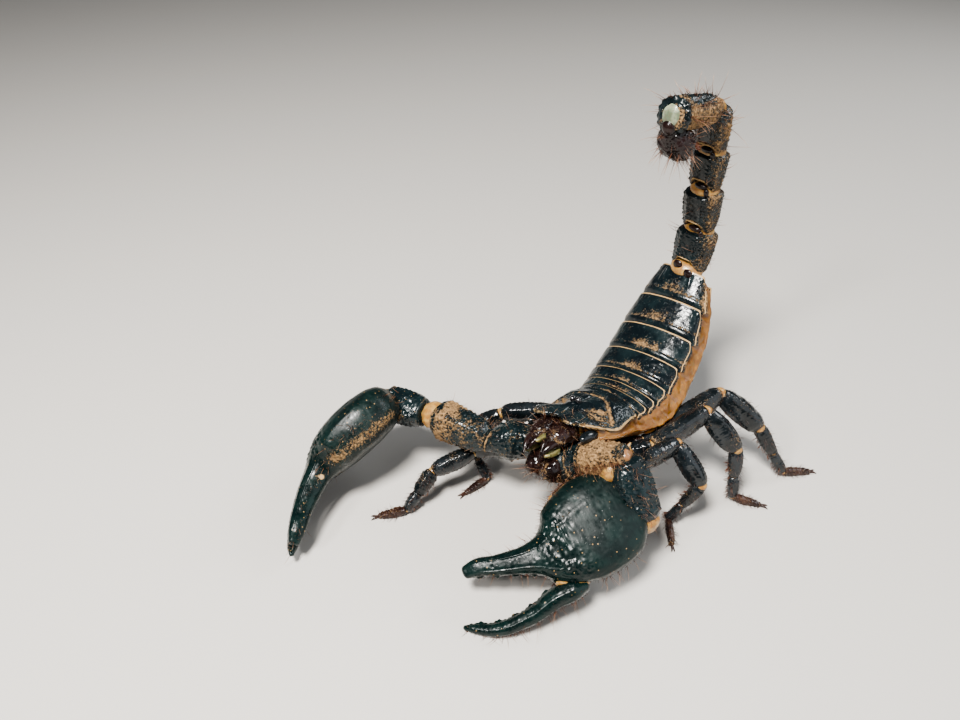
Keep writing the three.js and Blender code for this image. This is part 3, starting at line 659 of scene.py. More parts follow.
def carapace_surface(u, v):
    side = np.abs(u)
    half = carapace_half(v)
    reach = -CARAPACE.length * v + CARAPACE.notch * bell(u, 0.34) * v ** 4 + 0.9 * side ** 6 * (v - 0.5)
    flat = on_body(u * half, reach, 0 * u)
    flat = flat + prosoma.left * (u ** 9 * 0.22 * noise(flat, 1.4, 8))[..., None]
    waver = 0.02 * noise(flat, 1.5, 3)
    lateral = bell(v - 0.13 - 0.42 * side ** 1.3 + waver, 0.035)
    lateral = lateral * window(0.08, 0.2, 0.84, 0.93, side)
    forked = bell(v - 0.9 + 0.75 * side ** 0.8 + waver, 0.03) * window(0.24, 0.34, 0.5, 0.7, side)
    crest = bell(u + 0.5 * waver, 0.035) * window(0.14, 0.2, 0.88, 0.95, v)
    crest = crest * (1 - 0.8 * bell(v - 0.58, 0.1))
    pit = bell(v - 0.15, 0.05) * (1 - smooth(0.12, 0.3, side))
    hollow = bell(side - 0.62, 0.26) * bell(v - 0.56, 0.17)
    streaks = 0.5 + 0.5 * np.cos(44 * np.arctan2(v - 0.2, 1.3 - side) + 3 * noise(flat, 1.2, 5))
    front_rim = smooth(0.976, 0.988, v) * smooth(0.25, 0.5, side)
    rim = np.maximum(smooth(0.945, 0.965, side), front_rim)
    rear_rim = 1 - smooth(0.02, 0.035, v)
    rough = np.clip(0.25 + smooth(0.4, 0.8, side) + 0.6 * smooth(0.6, 0.9, v), 0, 1) * (1 - rim)
    lobes = bell(side - 0.45, 0.22) * (bell(v - 0.3, 0.12) + 0.9 * bell(v - 0.76, 0.1))
    z = carapace_height(u, v) - 0.65 * lateral - 0.5 * forked - 0.35 * crest - 0.8 * pit - 0.75 * hollow
    z = z + 0.16 * rim + 0.1 * rear_rim - 0.16 * streaks * hollow + 0.35 * lobes
    z = z + 0.12 * rough * grains(flat, 0.85, 7) + 0.07 * rough * grains(flat, 0.45, 9)
    z = z + 0.12 * noise(flat, 2.6, 1) + 0.05 * noise(flat, 1.1, 2)
    mud = 0.75 * lateral + 0.6 * forked + 0.7 * pit + hollow * (0.35 + 0.6 * streaks) + 0.4 * crest
    mud = mud + 0.18 * smooth(0.8, 0.93, side) * (1 - rim) + 0.25 * smooth(0.7, 0.95, v) + 0.06 - 0.4 * rim
    pale = 0.6 * rim - 0.12 * front_rim + 0.5 * rear_rim * smooth(0.5, 0.8, side)
    return flat + prosoma.up * z[..., None], {"mud": mud, "pale": pale}


def eyes():
    """The two big eyes on their knob, and the row of three at each front corner."""
    made = []
    for side, letter in LETTERS.items():
        centre = on_body(side * EYE.apart / 2, EYE.back, 0.4)
        lens = ball(centre, [EYE.radius] * 3, rows=16, sides=24)
        make_piece("lens_" + letter, lens, LENS, "eye", "eye_" + letter)
        for v in (0.83, 0.885, 0.94):
            u = 0.89 - 0.6 * (v - 0.83)
            edge = carapace_surface(np.array([[side * u]]), np.array([[v]]))[0][0, 0]
            made.append(ball(edge, [0.22] * 3))
    make_piece("lens_corner_rows", join(made), LENS, "eye")


# ---------------------------------------------------------------- trunk


# A back plate bends through this angle on each side of its crest.
ARCH = 62 * DEG


def plate_drop(half, u):
    return TERGITE_DROP * half * (1 - np.cos(u * ARCH)) / (1 - math.cos(ARCH))


CREST_LENGTH = 31  # of the trunk, along the crest of the back
LINE_CORNER = 1.3  # radius of the pale line at a back plate's corners


def tergite_surface(i):
    start, end = TERGITE_ENDS[i:i + 2]

    def surface(u, v):
        side = np.abs(u)
        corner = smooth(0.8, 1, side) ** 2
        half = 0.5 * mix(TERGITE_WIDTHS[i], TERGITE_WIDTHS[i + 1], v) + 0.15
        t = mix(start, end, v - 0.22 * corner * smooth(0.4, 1, v) + 0.1 * corner * (1 - v))
        f = trunk_frame(t)
        x = half * np.sin(u * ARCH) / math.sin(ARCH)
        flat = place(f, x, 0, -plate_drop(half, u))
        beyond_side = np.maximum((side - 0.935) * half + LINE_CORNER, 0)
        beyond_end = np.maximum((v - 0.965) * (end - start) * CREST_LENGTH + LINE_CORNER, 0)
        edge = bell(np.hypot(beyond_side, beyond_end) - LINE_CORNER, 0.15)
        rear_line = smooth(-0.3, -0.2, (v - 1) * (end - start) * CREST_LENGTH)
        edge = np.maximum(edge, rear_line * (1 - smooth(0.85, 0.93, side)))
        body = smooth(0.3, 0.9, v) * (1 - edge)
        z = -0.6 * (1 - smooth(-0.05, 0.16, v)) - 0.12 * bell(v - 0.24, 0.035) + 0.05 * edge
        z = z + 0.07 * body * smooth(0.15, 0.6, side) * grains(flat, 0.75, 11 + i)
        z = z + 0.09 * noise(flat, 2.4, 20 + i) + 0.04 * noise(flat, 0.9, 30 + i)
        if i == 6:
            z = z + 0.28 * bell(side - 0.42, 0.05) * window(0.35, 0.6, 0.85, 0.95, v)
        streaks = noise(np.stack([x * 2.4, v * 2.5, 0 * x], -1), 1.0, 40 + i)
        dust = bell(u - 0.05, 0.34) * bell(v - 0.34, 0.2) * (0.75 + 0.6 * streaks)
        mud = 0.1 + 0.6 * dust + 0.35 * bell(v - 0.24, 0.04) + 0.3 * smooth(0.8, 0.96, side)
        if i == 6:
            mud = mud + 0.4 * smooth(0.72, 0.86, u)
        pale = 0.85 * edge * (0.7 + 0.4 * side)
        return flat + f.up * z[..., None], {"mud": mud - 0.5 * edge, "pale": pale}

    return surface


PROSOMA_RUN = 25.0  # millimetres of body under the carapace for each 1 of s


def body_frames(s):
    """Frames along the body: s below 0 lies under the carapace, s from 0 to 1 is the trunk."""
    f = trunk_frame(s)
    w = smooth(-0.15, 0.12, s)[..., None]
    return SimpleNamespace(origin=f.origin + prosoma.back * (np.minimum(s, 0) * PROSOMA_RUN)[..., None],
                           left=unit(mix(prosoma.left, f.left, w)), up=unit(mix(prosoma.up, f.up, w)),
                           back=unit(mix(prosoma.back, f.back, w)))


def body_skin():
    """One skin from under the carapace to the tail: folded flanks and a soft belly."""
    rows, sides = 210, 132
    s = np.linspace(-0.44, 1.02, rows)[:, None]
    a = (np.arange(sides) / sides * 2 * math.pi)[None, :]
    c, d = np.cos(a) + 0 * s, np.sin(a) + 0 * s
    s = s + 0 * a
    f = body_frames(s)
    v = np.clip(-s * PROSOMA_RUN / CARAPACE.length, 0, 1)
    trunk = smooth(-0.08, 0.08, s)
    half = mix(carapace_half(v), 0.5 * np.interp(s, TERGITE_ENDS, TERGITE_WIDTHS), trunk)
    bulge = mix(-0.2, even(FLANK_BULGES, s), trunk)
    depth = mix(8.2 - 2.5 * v, even(TRUNK_DEPTHS, s), trunk)
    u = np.clip(np.abs(c) * (half + bulge) / half, 0, 1)
    across = np.arcsin(u * math.sin(ARCH)) / ARCH
    roof = mix(carapace_height(u, v) - 1.2, -0.95 - plate_drop(half, across), trunk)
    shoulder = -1.2 - mix(2.6, TERGITE_DROP * half, trunk)
    middle = mix(shoulder, -depth, 0.42)
    end = np.sqrt(np.clip(1 - smooth(0.9, 1.02, s) ** 2 - smooth(-0.41, -0.44, s) ** 2, 0.01, 1))
    phase = np.interp(s, TERGITE_ENDS, np.arange(8.0))
    swell = np.abs(np.sin(phase * math.pi)) ** 0.5 * trunk
    x = (half + bulge * (0.96 + 0.06 * swell)) * np.sign(c) * np.abs(c) ** 0.85 * end
    belly = middle - (middle + depth) * np.abs(d) ** 0.9 * end
    z = np.where(d < 0, belly, mix(middle, roof, smooth(0, 0.6, d)))
    points = place(f, x, 0 * x, z)
    normals = grid_normals(points, True)
    normals = normals * np.sign(np.sum(normals * (points - f.origin + f.up * 4), -1).mean())
    flank = window(-0.75, -0.35, 0.35, 0.6, d)
    wander = noise(points, 4.5, 41)
    folds = np.cos(11 * d + 2.2 * wander + 0.8 * np.sin(phase * math.pi * 2))
    stretched = np.stack([phase * 3.2, z * 1.6, 0 * z], -1)
    creases = noise(stretched, 0.55, 43) * 0.6 + noise(stretched, 0.25, 45) * 0.4
    seam = bell((phase + 0.5) % 1 - 0.5, 0.07) * trunk
    height = flank * (0.16 * folds + 0.14 * creases - 0.15 * seam) + 0.1 * noise(points, 0.8, 47)
    points = points + normals * height[..., None]
    mud = 0.25 - 0.25 * folds * flank + 0.5 * seam + 0.5 * smooth(-0.6, -0.9, d)
    pale = flank * (0.35 * folds + 0.35 * creases) + 0.3 * bell(d - 0.2, 0.2)
    make_piece("soft_skin", tube(points, mud=mud, pale=pale), FLANK, "soft", "soft_body")


def sternite_surface(i):
    start, end = 0.1 + 0.175 * i, 0.27 + 0.175 * i

    def surface(u, v):
        t = mix(start, end, v)
        f = trunk_frame(t)
        half = 0.4 * np.interp(t, TERGITE_ENDS, TERGITE_WIDTHS)
        flat = place(f, half * u, 0, 1.3 * u * u - even(TRUNK_DEPTHS, t) - 0.75)
        edge = np.maximum(smooth(0.94, 0.97, v), smooth(0.96, 0.98, np.abs(u)))
        slit = bell(v - 0.5, 0.05) * bell(np.abs(u) - 0.72, 0.1)
        z = 0.4 * (1 - smooth(0, 0.15, v)) + 0.25 * slit + 0.05 * noise(flat, 1.5, 51)
        return flat + f.up * z[..., None], {"mud": 0.2 + 0.5 * slit, "pale": 0.8 * edge + 0.5 * slit}

    return surface


COMB_TEETH = 14


def pectine(side):
    """A comb: a jointed bar with a row of flat teeth."""
    def at(v, u):
        return on_body(side * (1.0 + 7.2 * v), 1.6 + 2.4 * v + 1.25 * (1 - 0.4 * v) * u,
                       -CARAPACE.rear_drop - 7.2 + 1.4 * v)

    bar = sweep([(at(0.02, -0.4), 0.6, 0.4), (at(0.5, -0.4), 0.6, 0.42), (at(0.98, -0.3), 0.35, 0.3)],
                prosoma.back, 60, 14)
    bar = raise_skin(bar, 0.1 * np.abs(np.sin(bar.run * 2.6)))
    made = [tube(bar.points, pale=0.7, mud=0.2)]
    for v in np.linspace(0.06, 0.96, COMB_TEETH):
        made.append(ball(at(v, 0.45), [0.2, 0.85 * (1 - 0.35 * v), 0.28], BODY_AXES, 9, 12, pale=0.9))
    letter = LETTERS[side]
    make_piece("comb_" + letter, join(made), JOINT, "soft", "pectine_" + letter)


def mouth_lobe(side):
    """The lobe at the base of a claw arm, below the mouth."""
    rows = [(-12.8, 1.3), (-14.4, 2.0), (-16.8, 2.1), (-19.2, 1.0)]
    limb = sweep([(on_body(side * 1.8, back, -10.7), 0.95 * size, 1.15 * size) for back, size in rows],
                 prosoma.left, 46, 50)
    return raise_skin(limb, 0.2 * noise(limb.points, 0.8, 67) + 0.09 * grains(limb.points, 0.5, 69))


def underside():
    """The breastplate, the coxae of the legs and the bases of the claw arms. Gives the mouth lobes."""
    made = [ball(on_body(0, -2.2, -9.7), [1.5, 1.9, 0.9], BODY_AXES)]
    for side in (1, -1):
        for pair in range(4):
            start = on_body(side * (1.0 + 0.25 * pair), 0.55 * HIP.back[pair] - 2.4, -9.4)
            hip = on_body(side * HIP.out[pair], HIP.back[pair], -HIP.down)
            coxa = sweep([(start, 1.0, 1.1), (mix(start, hip, 0.5), 1.5, 2.0), (hip, 1.35, 1.7)],
                         prosoma.back, 34, 30)
            rough = 0.1 * noise(coxa.points, 1.1, 60 + pair) + 0.05 * grains(coxa.points, 0.6, 61)
            coxa = raise_skin(coxa, rough)
            made.append(tube(coxa.points, mud=0.42, pale=0.6 * bell(coxa.run - coxa.length, 0.5)))
        root = on_body(side * 2.2, -7.5, -8.6)
        tip = on_body(side * ARM.coxa_out, ARM.coxa_back, -ARM.coxa_down)
        stations = [(root, 1.6, 2.0), (mix(root, tip, 0.6), 2.3, 2.7), (tip, 2.4, 2.5)]
        base = sweep(stations, prosoma.left, 40, 44)
        base = raise_skin(base, 0.15 * noise(base.points, 1.3, 65) + 0.08 * grains(base.points, 0.6, 66))
        made.append(tube(base.points, mud=0.45))
    lobes = [mouth_lobe(side) for side in (1, -1)]
    made.extend(tube(lobe.points, mud=0.45 + 0.35 * noise(lobe.points, 1.1, 68)) for lobe in lobes)
    make_piece("coxa_plates", join(made), JAW, "shell", "coxae")
    cheeks = [ball(on_body(side * 6.2, -12.4, -4.2), [1.1, 2.4, 1.1], BODY_AXES, 20, 34, mud=0.25)
              for side in (1, -1)]
    make_piece("cheek_plates", join(cheeks), LEG_HORN, "shell")
    return lobes


def trunk():
    """Makes the trunk and what lies under it. Gives the mouth lobes."""
    make_piece("shell_carapace", plate(carapace_surface, prosoma.up, 130, 180), SHELL, "shell", "carapace")
    eyes()
    for i in range(7):
        sheet = plate(tergite_surface(i), trunk_frame(0.5).up, 40, 130, 0.55, (-0.08, 1))
        make_piece(f"shell_tergite_{i + 1}", sheet, SHELL, "shell", f"tergite_{i + 1}")
    body_skin()
    sternites = [plate(sternite_surface(i), -UP, 22, 50, 0.6) for i in range(5)]
    make_piece("shell_sternites", join(sternites), JAW, "shell", "belly_plates")
    pectine(1)
    pectine(-1)
    return underside()


# ---------------------------------------------------------------- tail


def tail_joints():
    joints = [place(trunk_frame(1.0), 0, 0.3, -TAIL_INSET)]
    for length, _, _, turn in TAIL:
        joints.append(joints[-1] + tail_direction(turn) * length)
    return joints


TAIL_JOINTS = tail_joints()
TAIL_PROFILE = [(0, 0.72), (0.12, 0.86), (0.4, 0.95), (0.8, 1), (0.93, 0.98), (1, 0.84)]
KEELS = [66, 114, 32, 148, -4, 184, -45, 225, -78, 258]


def profile(start, direction, reach, size, rows):
    """Stations from rows of (share of the reach, share of the width and height)."""
    return [(start + direction * mix(*reach, t), 0.5 * size[0] * k, 0.5 * size[1] * k) for t, k in rows]


def tail_segment(i):
    """One tail segment: keels of beads, a dorsal furrow and an arched mouth at its start."""
    length, width, height, turn = TAIL[i]
    direction = tail_direction(turn)
    stations = profile(TAIL_JOINTS[i], direction, (0.2, length - 0.2), (width, height), TAIL_PROFILE)
    limb = sweep(stations, LEFT, 100 if i < 4 else 140, 124, 2.25, (0.4, 0.5))
    way = limb.run / limb.length
    last = i == 4
    middle = window(0.03, 0.15, 0.9, 0.98, way)
    beads = 0.45 + 0.55 * np.abs(np.cos(limb.run * math.pi / 0.8 + 2 * noise(limb.points, 3, 70 + i)))
    keels = 0
    for k, angle in enumerate(KEELS):
        if not (last and k in (0, 1, 4, 5)):
            keels = keels + ridge(limb, angle, 0.1) * (0.22 if k < 2 else 0.28)
    dorsal = away(limb.turn, 90)
    furrow = bell(dorsal, 0.22) * middle
    mouth = smooth(1.1, 0.3, dorsal)
    lip = bell(limb.run - 0.45, 0.4) * (0.25 + 0.75 * mouth)
    ending = bell(way - 0.96, 0.03)
    rough = (1 - 0.75 * bell(dorsal, 0.5)) * (1 if not last else 1.3)
    crown = last * bell(way - 0.95, 0.025) * (0.4 + 0.6 * np.cos(7.5 * limb.turn) ** 2)
    height_map = (keels * beads * middle - 0.12 * furrow + 0.25 * lip + 0.12 * ending + 0.4 * crown
                  + 0.3 * lip * mouth + 0.12 * rough * grains(limb.points, 0.7, 72 + i) * middle
                  + 0.08 * noise(limb.points, 1.5, 76 + i) + 0.04 * noise(limb.points, 0.6, 80 + i))
    limb = raise_skin(limb, height_map)
    arch = (2.4 if i else 2.9) * mouth * (1 - smooth(0, 0.4 * length, limb.run))
    limb.points = limb.points + (limb.direction[:, None] * arch[..., None])
    left_side = smooth(1.25, 0.5, away(limb.turn, 0))
    mud = 0.1 + 0.34 * left_side + 0.4 * lip + 0.6 * lip * mouth + 0.12 * (keels > 0.12) * (1 - beads)
    mud = mud + (0.3 * smooth(0.1, -0.1, noise(limb.points, 3.2, 84))) * (i >= 3)
    if last:
        mud = mud + 0.12 - 0.6 * bell(way - 0.95, 0.05)
        mud = mud - 0.5 * ridge(limb, 300, 0.5) * bell(way - 0.6, 0.25)
    pale = 0.75 * lip * mouth + 0.1 * ending
    name = f"tail_{i + 1}"
    make_piece("shell_" + name, tube(limb.points, mud=mud, pale=pale), TAIL_HORN, "shell", name)
    return limb


def tail_joint(i):
    """The pale skin and the two dark knobs of the joint before a segment."""
    _, width, height, turn = TAIL[i]
    direction = tail_direction(turn)
    front = np.cross(LEFT, direction)
    at = TAIL_JOINTS[i] + direction * 0.1
    axes = [unit(np.cross(direction, front)), unit(front), direction]
    fit = 0.36 if i == 4 else 0.44
    if i == 0:
        at = at + front * 0.8 + direction * 0.5
    skin = ball(at, [fit * width, fit * height, 2.2], axes, 26, 50, mud=0.1 if i else 0.4)
    skin.points = skin.points + 0.07 * noise(skin.points, 0.6, 90)[:, None]
    at = at + front * 0.38 * height
    if i == 0:
        knobs = [ball(at + direction * (0.7 - 0.5 * side) + LEFT * (0.17 * side + 0.07) * width,
                      [1.05, 0.4, 0.9], axes, 14, 24) for side in (1, -1)]
    else:
        knobs = [ball(at + direction * 1.35 + LEFT * 0.06 * width, [0.2 * width, 0.6, 0.6], axes, 18, 30),
                 ball(at + direction * 0.4 + LEFT * 0.27 * width, [0.5, 0.5, 0.8], axes, 14, 24)]
    return skin, knobs


def telson():
    """The end disc of the last segment, the vesicle and its sting."""
    direction = tail_direction(TAIL[4][3])
    front = unit(np.cross(LEFT, direction))
    axes = [unit(np.cross(direction, front)), front, direction]
    end = TAIL_JOINTS[5]
    disc = ball(end - direction * 0.5 - front * 0.1, [1.95, 2.15, 1.15], axes, 24, 44)
    chin = ball(end - direction * 0.1 + front * 1.9, [0.7, 1.1, 0.6], axes, 14, 24)
    disc = join([disc, chin])
    disc.points = disc.points + direction * 0.05 * noise(disc.points, 0.5, 92)[:, None]
    make_piece("end_disc", disc, PALE_DISC, "soft")
    start = end - UP * VESICLE.below
    direction = tail_direction(VESICLE.turn)
    neck = ball(start + direction * 0.2 + UP * 0.5, [1.3, 1.25, 1.5], None, 18, 30)
    make_piece("telson_neck", neck, JAW, "shell")
    rows = [(0, 0.36), (0.1, 0.62), (0.3, 0.94), (0.5, 1), (0.72, 0.85), (0.9, 0.55), (1, 0.34)]
    size = (VESICLE.width, VESICLE.height)
    stations = profile(start, direction, (GAP, VESICLE.length), size, rows)
    sac = sweep(stations, LEFT, 90, 90, 2.1, (0.3, 0.3))
    bumps = 0.16 * grains(sac.points, 0.7, 93) + 0.1 * noise(sac.points, 1.2, 94)
    ribs = 0.1 * np.cos(sac.turn * 9) * smooth(0.2, 0.5, sac.run / sac.length)
    sac = raise_skin(sac, bumps + ribs)
    make_piece("shell_vesicle", tube(sac.points, mud=0.2 + 0.2 * noise(sac.points, 2, 95)), SAC_HORN, "shell",
               "telson_vesicle")
    at = start + direction * (VESICLE.length + GAP) + UP * STING.above
    stations = [(at - tail_direction(STING.turn) * 1.6, 1.15, 1.15)]
    for k, wide in enumerate((0.5, 0.42, 0.34, 0.28, 0.26)):
        if k:
            at = at + tail_direction(STING.turn - STING.curl * k / 4) * STING.length / 4
        stations.append((at, STING.thickness * wide, STING.thickness * wide))
    point = sweep(stations, LEFT, 50, 28, 2, (0.2, 0.9))
    make_piece("sting_point", tube(point.points, mud=0.15), STING_HORN, "foot", "telson_sting")
    return sac


def tail():
    limbs = [tail_segment(i) for i in range(5)]
    joints = [tail_joint(i) for i in range(5)]
    make_piece("tail_joint_skin", join([skin for skin, _ in joints]), JOINT, "soft")
    make_piece("tail_joint_knobs", join([k for _, knobs in joints for k in knobs]), JAW, "shell")
    return limbs, telson()

# ---------------------------------------------------------------- legs


def leg_joints(name):
    side, pair = (1 if name[0] == "L" else -1), int(name[1]) - 1
    trochanter, femur, patella, tibia_azimuth, foot_azimuth = STANCE[name]
    sizes = LEGS[pair]
    joints = [on_body(side * HIP.out[pair], HIP.back[pair], -HIP.down)]
    for (azimuth, elevation), length in zip((trochanter, femur, patella), sizes):
        joints.append(joints[-1] + heading(side * azimuth, elevation) * length)
    ankle = TOE_HEIGHT + sizes[4] * math.sin(FOOT_SLOPE * DEG)
    slope = math.asin((joints[-1][2] - ankle) / sizes[3]) / DEG
    joints.append(joints[-1] + heading(side * tibia_azimuth, -slope) * sizes[3])
    joints.append(joints[-1] + heading(side * foot_azimuth, -FOOT_SLOPE) * sizes[4])
    return joints, sizes[5]


def between(a, b, rows, thick):
    """Stations from rows of (share of the way, half width, half height)."""
    reach = np.linalg.norm(b - a)
    direction = (b - a) / reach
    return [(a + direction * mix(GAP / 2, reach - GAP / 2, t), wide * thick, high * thick)
            for t, wide, high in rows]


LEG_ROWS = {
    "trochanter": [(0, 0.36, 0.42), (0.35, 0.44, 0.52), (0.8, 0.46, 0.54), (1, 0.36, 0.42)],
    "femur": [(0.02, 0.36, 0.42), (0.12, 0.48, 0.56), (0.6, 0.54, 0.69), (0.92, 0.46, 0.6), (1, 0.3, 0.4)],
    "patella": [(0, 0.28, 0.34), (0.1, 0.44, 0.53), (0.5, 0.55, 0.71), (0.88, 0.47, 0.6), (1, 0.3, 0.38)],
    "tibia": [(0, 0.26, 0.31), (0.2, 0.36, 0.43), (0.8, 0.32, 0.38), (1, 0.24, 0.28)],
    "metatarsus": [(0, 0.2, 0.24), (0.3, 0.28, 0.32), (0.85, 0.26, 0.29), (1, 0.2, 0.22)],
    "tarsus": [(0.04, 0.17, 0.19), (0.3, 0.22, 0.24), (0.8, 0.2, 0.21), (1, 0.13, 0.15)],
}


def leg_limb(part, a, b, thick, side, seed):
    """One leg segment with low keels, pits and creases, and its mesh in the making."""
    steps, sides = (64, 48) if part in ("femur", "patella") else (44, 40)
    limb = sweep(between(a, b, LEG_ROWS[part], thick), side, steps, sides, 2.5, (0.25, 0.3))
    way = limb.run / limb.length
    middle = window(0.05, 0.2, 0.85, 0.97, way)
    keels = ridges(limb, (52, 128, 232, 308), 0.13) * middle
    collar = bell(way - 0.97, 0.03) + bell(way - 0.03, 0.03)
    beads = 0.5 + 0.5 * np.cos(limb.run * math.pi / 0.45)
    limb = raise_skin(limb, thick * (0.035 * keels * (0.5 + beads) + 0.04 * collar
                                     + 0.03 * noise(limb.points, 1.6, seed)
                                     + 0.022 * grains(limb.points, 0.5, seed + 1)))
    rest_on_floor(limb.points)
    lump = noise(limb.points, 2.2, seed + 2)
    mud = 0.2 + 0.22 * lump + 0.25 * collar + 0.15 * keels
    return limb, tube(limb.points, mud=mud, pale=0.42 * collar * (part in ("femur", "patella")))


def foot_claws(ankle, toe, side):
    """Two curved claws and a short one between them."""
    ahead = unit((toe - ankle) * np.array([1, 1, 0]))
    made = []
    for turn, reach in ((-0.35, 1.5), (0.35, 1.5), (0, 0.8)):
        way = unit(ahead + side * turn)
        stations = [(toe - ahead * 0.3, 0.26, 0.26), (toe + way * reach * 0.5 + UP * 0.12, 0.19, 0.19),
                    (toe + way * reach * 0.85, 0.12, 0.12), (toe + way * reach - UP * 0.16, 0.05, 0.05)]
        claw = sweep(stations, side, 12, 10, 2, (0.1, 0.1))
        made.append(tube(rest_on_floor(claw.points)))
    return made


def leg(name, seed):
    """Makes one leg. Gives its limbs and its joint skins."""
    joints, thick = leg_joints(name)
    hip, knuckle, knee, shank, ankle, toe = joints
    plane = unit((toe - hip) * np.array([1, 1, 0]))
    side = np.array([-plane[1], plane[0], 0])
    heel = mix(shank, ankle, 0.56)
    parts = [("trochanter", hip, knuckle), ("femur", knuckle, knee), ("patella", knee, shank),
             ("tibia", shank, heel), ("metatarsus", heel, ankle), ("tarsus", ankle, toe)]
    limbs, made = {}, {}
    for k, (part, a, b) in enumerate(parts):
        stout = 1.3 if name[1] == "1" and k > 2 else 1.0
        limbs[part], made[part] = leg_limb(part, a, b, stout * thick, side, seed + 7 * k)
    node = "leg_" + name
    upper = join([made["trochanter"], made["femur"]])
    shin = join([made["tibia"], made["metatarsus"]])
    foot = join([made["tarsus"]] + foot_claws(ankle, toe, side))
    make_piece(f"horn_{name}_upper", upper, LEG_HORN, "shell", node + "_femur")
    make_piece(f"horn_{name}_knee", made["patella"], LEG_HORN, "shell", node + "_patella")
    make_piece(f"horn_{name}_shin", shin, LEG_HORN, "foot", node + "_shin")
    make_piece(f"horn_{name}_foot", foot, FOOT, "foot")
    skins = [ball(at, [wide * thick] * 3, None, 14, 22, mud=0.3 + 0.2 * k / 6)
             for k, (at, wide) in enumerate(zip((hip, knuckle, knee, shank, heel, ankle),
                                                (0.46, 0.42, 0.4, 0.36, 0.24, 0.19)))]
    for skin in skins:
        rest_on_floor(skin.points)
    return limbs, skins


# ---------------------------------------------------------------- claw arms


def arm_joints(letter):
    side = 1 if letter == "L" else -1
    stance = ARM_STANCE[letter]
    coxa = on_body(side * ARM.coxa_out, ARM.coxa_back, -ARM.coxa_down)
    shoulder = coxa + heading(side * stance.trochanter[0], stance.trochanter[1]) * stance.coxa
    elbow = shoulder + heading(side * stance.femur[0], stance.femur[1]) * ARM.femur
    wrist = elbow + heading(side * stance.patella[0], stance.patella[1]) * ARM.patella
    axis = heading(side * stance.claw[0], stance.claw[1])
    level = unit(np.array([-axis[1], axis[0], 0])) * side
    outer = level * math.cos(stance.roll * DEG) - UP * math.sin(stance.roll * DEG)
    outer = unit(outer - axis * (outer @ axis))
    origin = wrist - axis * WRIST.along - outer * WRIST.across
    under = np.cross(outer, axis) * side

    def in_plane(x, y):
        curl = stance.curl * max(0, min(1, (x - CURL_START) / (CLAW_LENGTH - CURL_START))) ** 2
        return origin + axis * x + outer * y + under * curl

    return SimpleNamespace(side=side, stance=stance, coxa=coxa, shoulder=shoulder, elbow=elbow, wrist=wrist,
                           axis=axis, outer=outer, under=under, in_plane=in_plane)


TROCHANTER_ROWS = {
    "L": [(0, 2.4, 2.4), (0.4, 3.0, 3.2), (0.8, 3.1, 3.6), (1, 2.0, 2.6)],
    "R": [(0, 2.0, 2.1), (0.3, 2.7, 3.0), (0.68, 3.3, 3.7), (0.92, 2.3, 2.6), (1, 1.5, 1.7)]}
ARM_FEMUR_ROWS = {
    "L": [(0.32, 2.5, 2.7), (0.4, 3.0, 3.2), (0.56, 3.0, 3.2), (0.82, 2.4, 2.5), (1.03, 1.8, 1.9)],
    "R": [(0.04, 1.8, 2.0), (0.17, 2.8, 3.0), (0.5, 3.2, 3.3), (0.84, 3.5, 3.4), (0.97, 2.6, 2.7)]}
ARM_PATELLA_ROWS = [(0, 2.3, 2.4), (0.14, 2.9, 3.1), (0.5, 3.4, 3.5), (0.85, 3.4, 3.4), (1, 2.5, 2.5)]
BARE_ELBOW = {"L": 0.04, "R": 0.22}


def upper_arm(arm, letter, part, seed):
    """Trochanter, femur or patella of a claw arm: keeled, pitted and muddy."""
    patella_rows = [(mix(BARE_ELBOW[letter], 1, t), wide, high) for t, wide, high in ARM_PATELLA_ROWS]
    flat = unit(np.cross(arm.elbow - arm.shoulder, UP))
    a, b, rows, side, square = {
        "trochanter": (arm.coxa, arm.shoulder, TROCHANTER_ROWS[letter], flat, 2.2),
        "femur": (arm.shoulder, arm.elbow, ARM_FEMUR_ROWS[letter], flat, 2.8),
        "patella": (arm.elbow, arm.wrist, patella_rows, arm.outer, 2.6),
    }[part]
    limb = sweep(between(a, b, rows, 1), side, 90, 110, square, (0.5, 0.5))
    way = limb.run / limb.length
    middle = window(0.06, 0.2, 0.86, 0.97, way)
    beads = 0.5 + 0.5 * np.cos(limb.run * math.pi / 0.55 + 2 * noise(limb.points, 2, seed))
    keels = ridges(limb, (48, 132, 228, 312), 0.09) * middle
    collar = bell(way - 0.97, 0.035) + bell(way - 0.02, 0.03)
    if part == "trochanter":
        collar = collar + bell(way - 0.3, 0.07) + bell(way - 0.62, 0.06)
    pits = grains(limb.points, 0.85 if part == "femur" else 1.15, seed + 1, 0.4)
    lumps = noise(limb.points, 1.7, seed + 2)
    limb = raise_skin(limb, 0.2 * keels * (0.5 + beads) + 0.2 * collar + 0.16 * lumps
                      - 0.22 * pits * middle + 0.07 * grains(limb.points, 0.5, seed + 3))
    base = {"trochanter": 0.2, "femur": 0.85 if letter == "L" else 0.42, "patella": 0.12}[part]
    if letter == "R":
        base = base + 0.45 * smooth(0.45, 0.75, way) * smooth(0.93, 0.86, way) * (part == "femur")
        base = base + 0.5 * ridge(limb, 235, 0.5) * smooth(0.2, 0.4, way) * (part == "patella")
    elif part == "femur":
        base = base + 0.1 - 0.5 * smooth(0.8, 0.95, way) - 0.35 * smooth(0.15, 0.05, way)
    holes = 0.3 if part == "femur" and letter == "L" else 0.5
    mud = base + 0.25 * lumps + 0.2 * keels - holes * pits + 0.15 * collar
    pale = 0.4 * collar + 0.2 * keels * (part == "patella")
    made = tube(limb.points, mud=mud, pale=pale)
    return limb, join([made, shoulder_knob(arm, letter)]) if part == "trochanter" else made


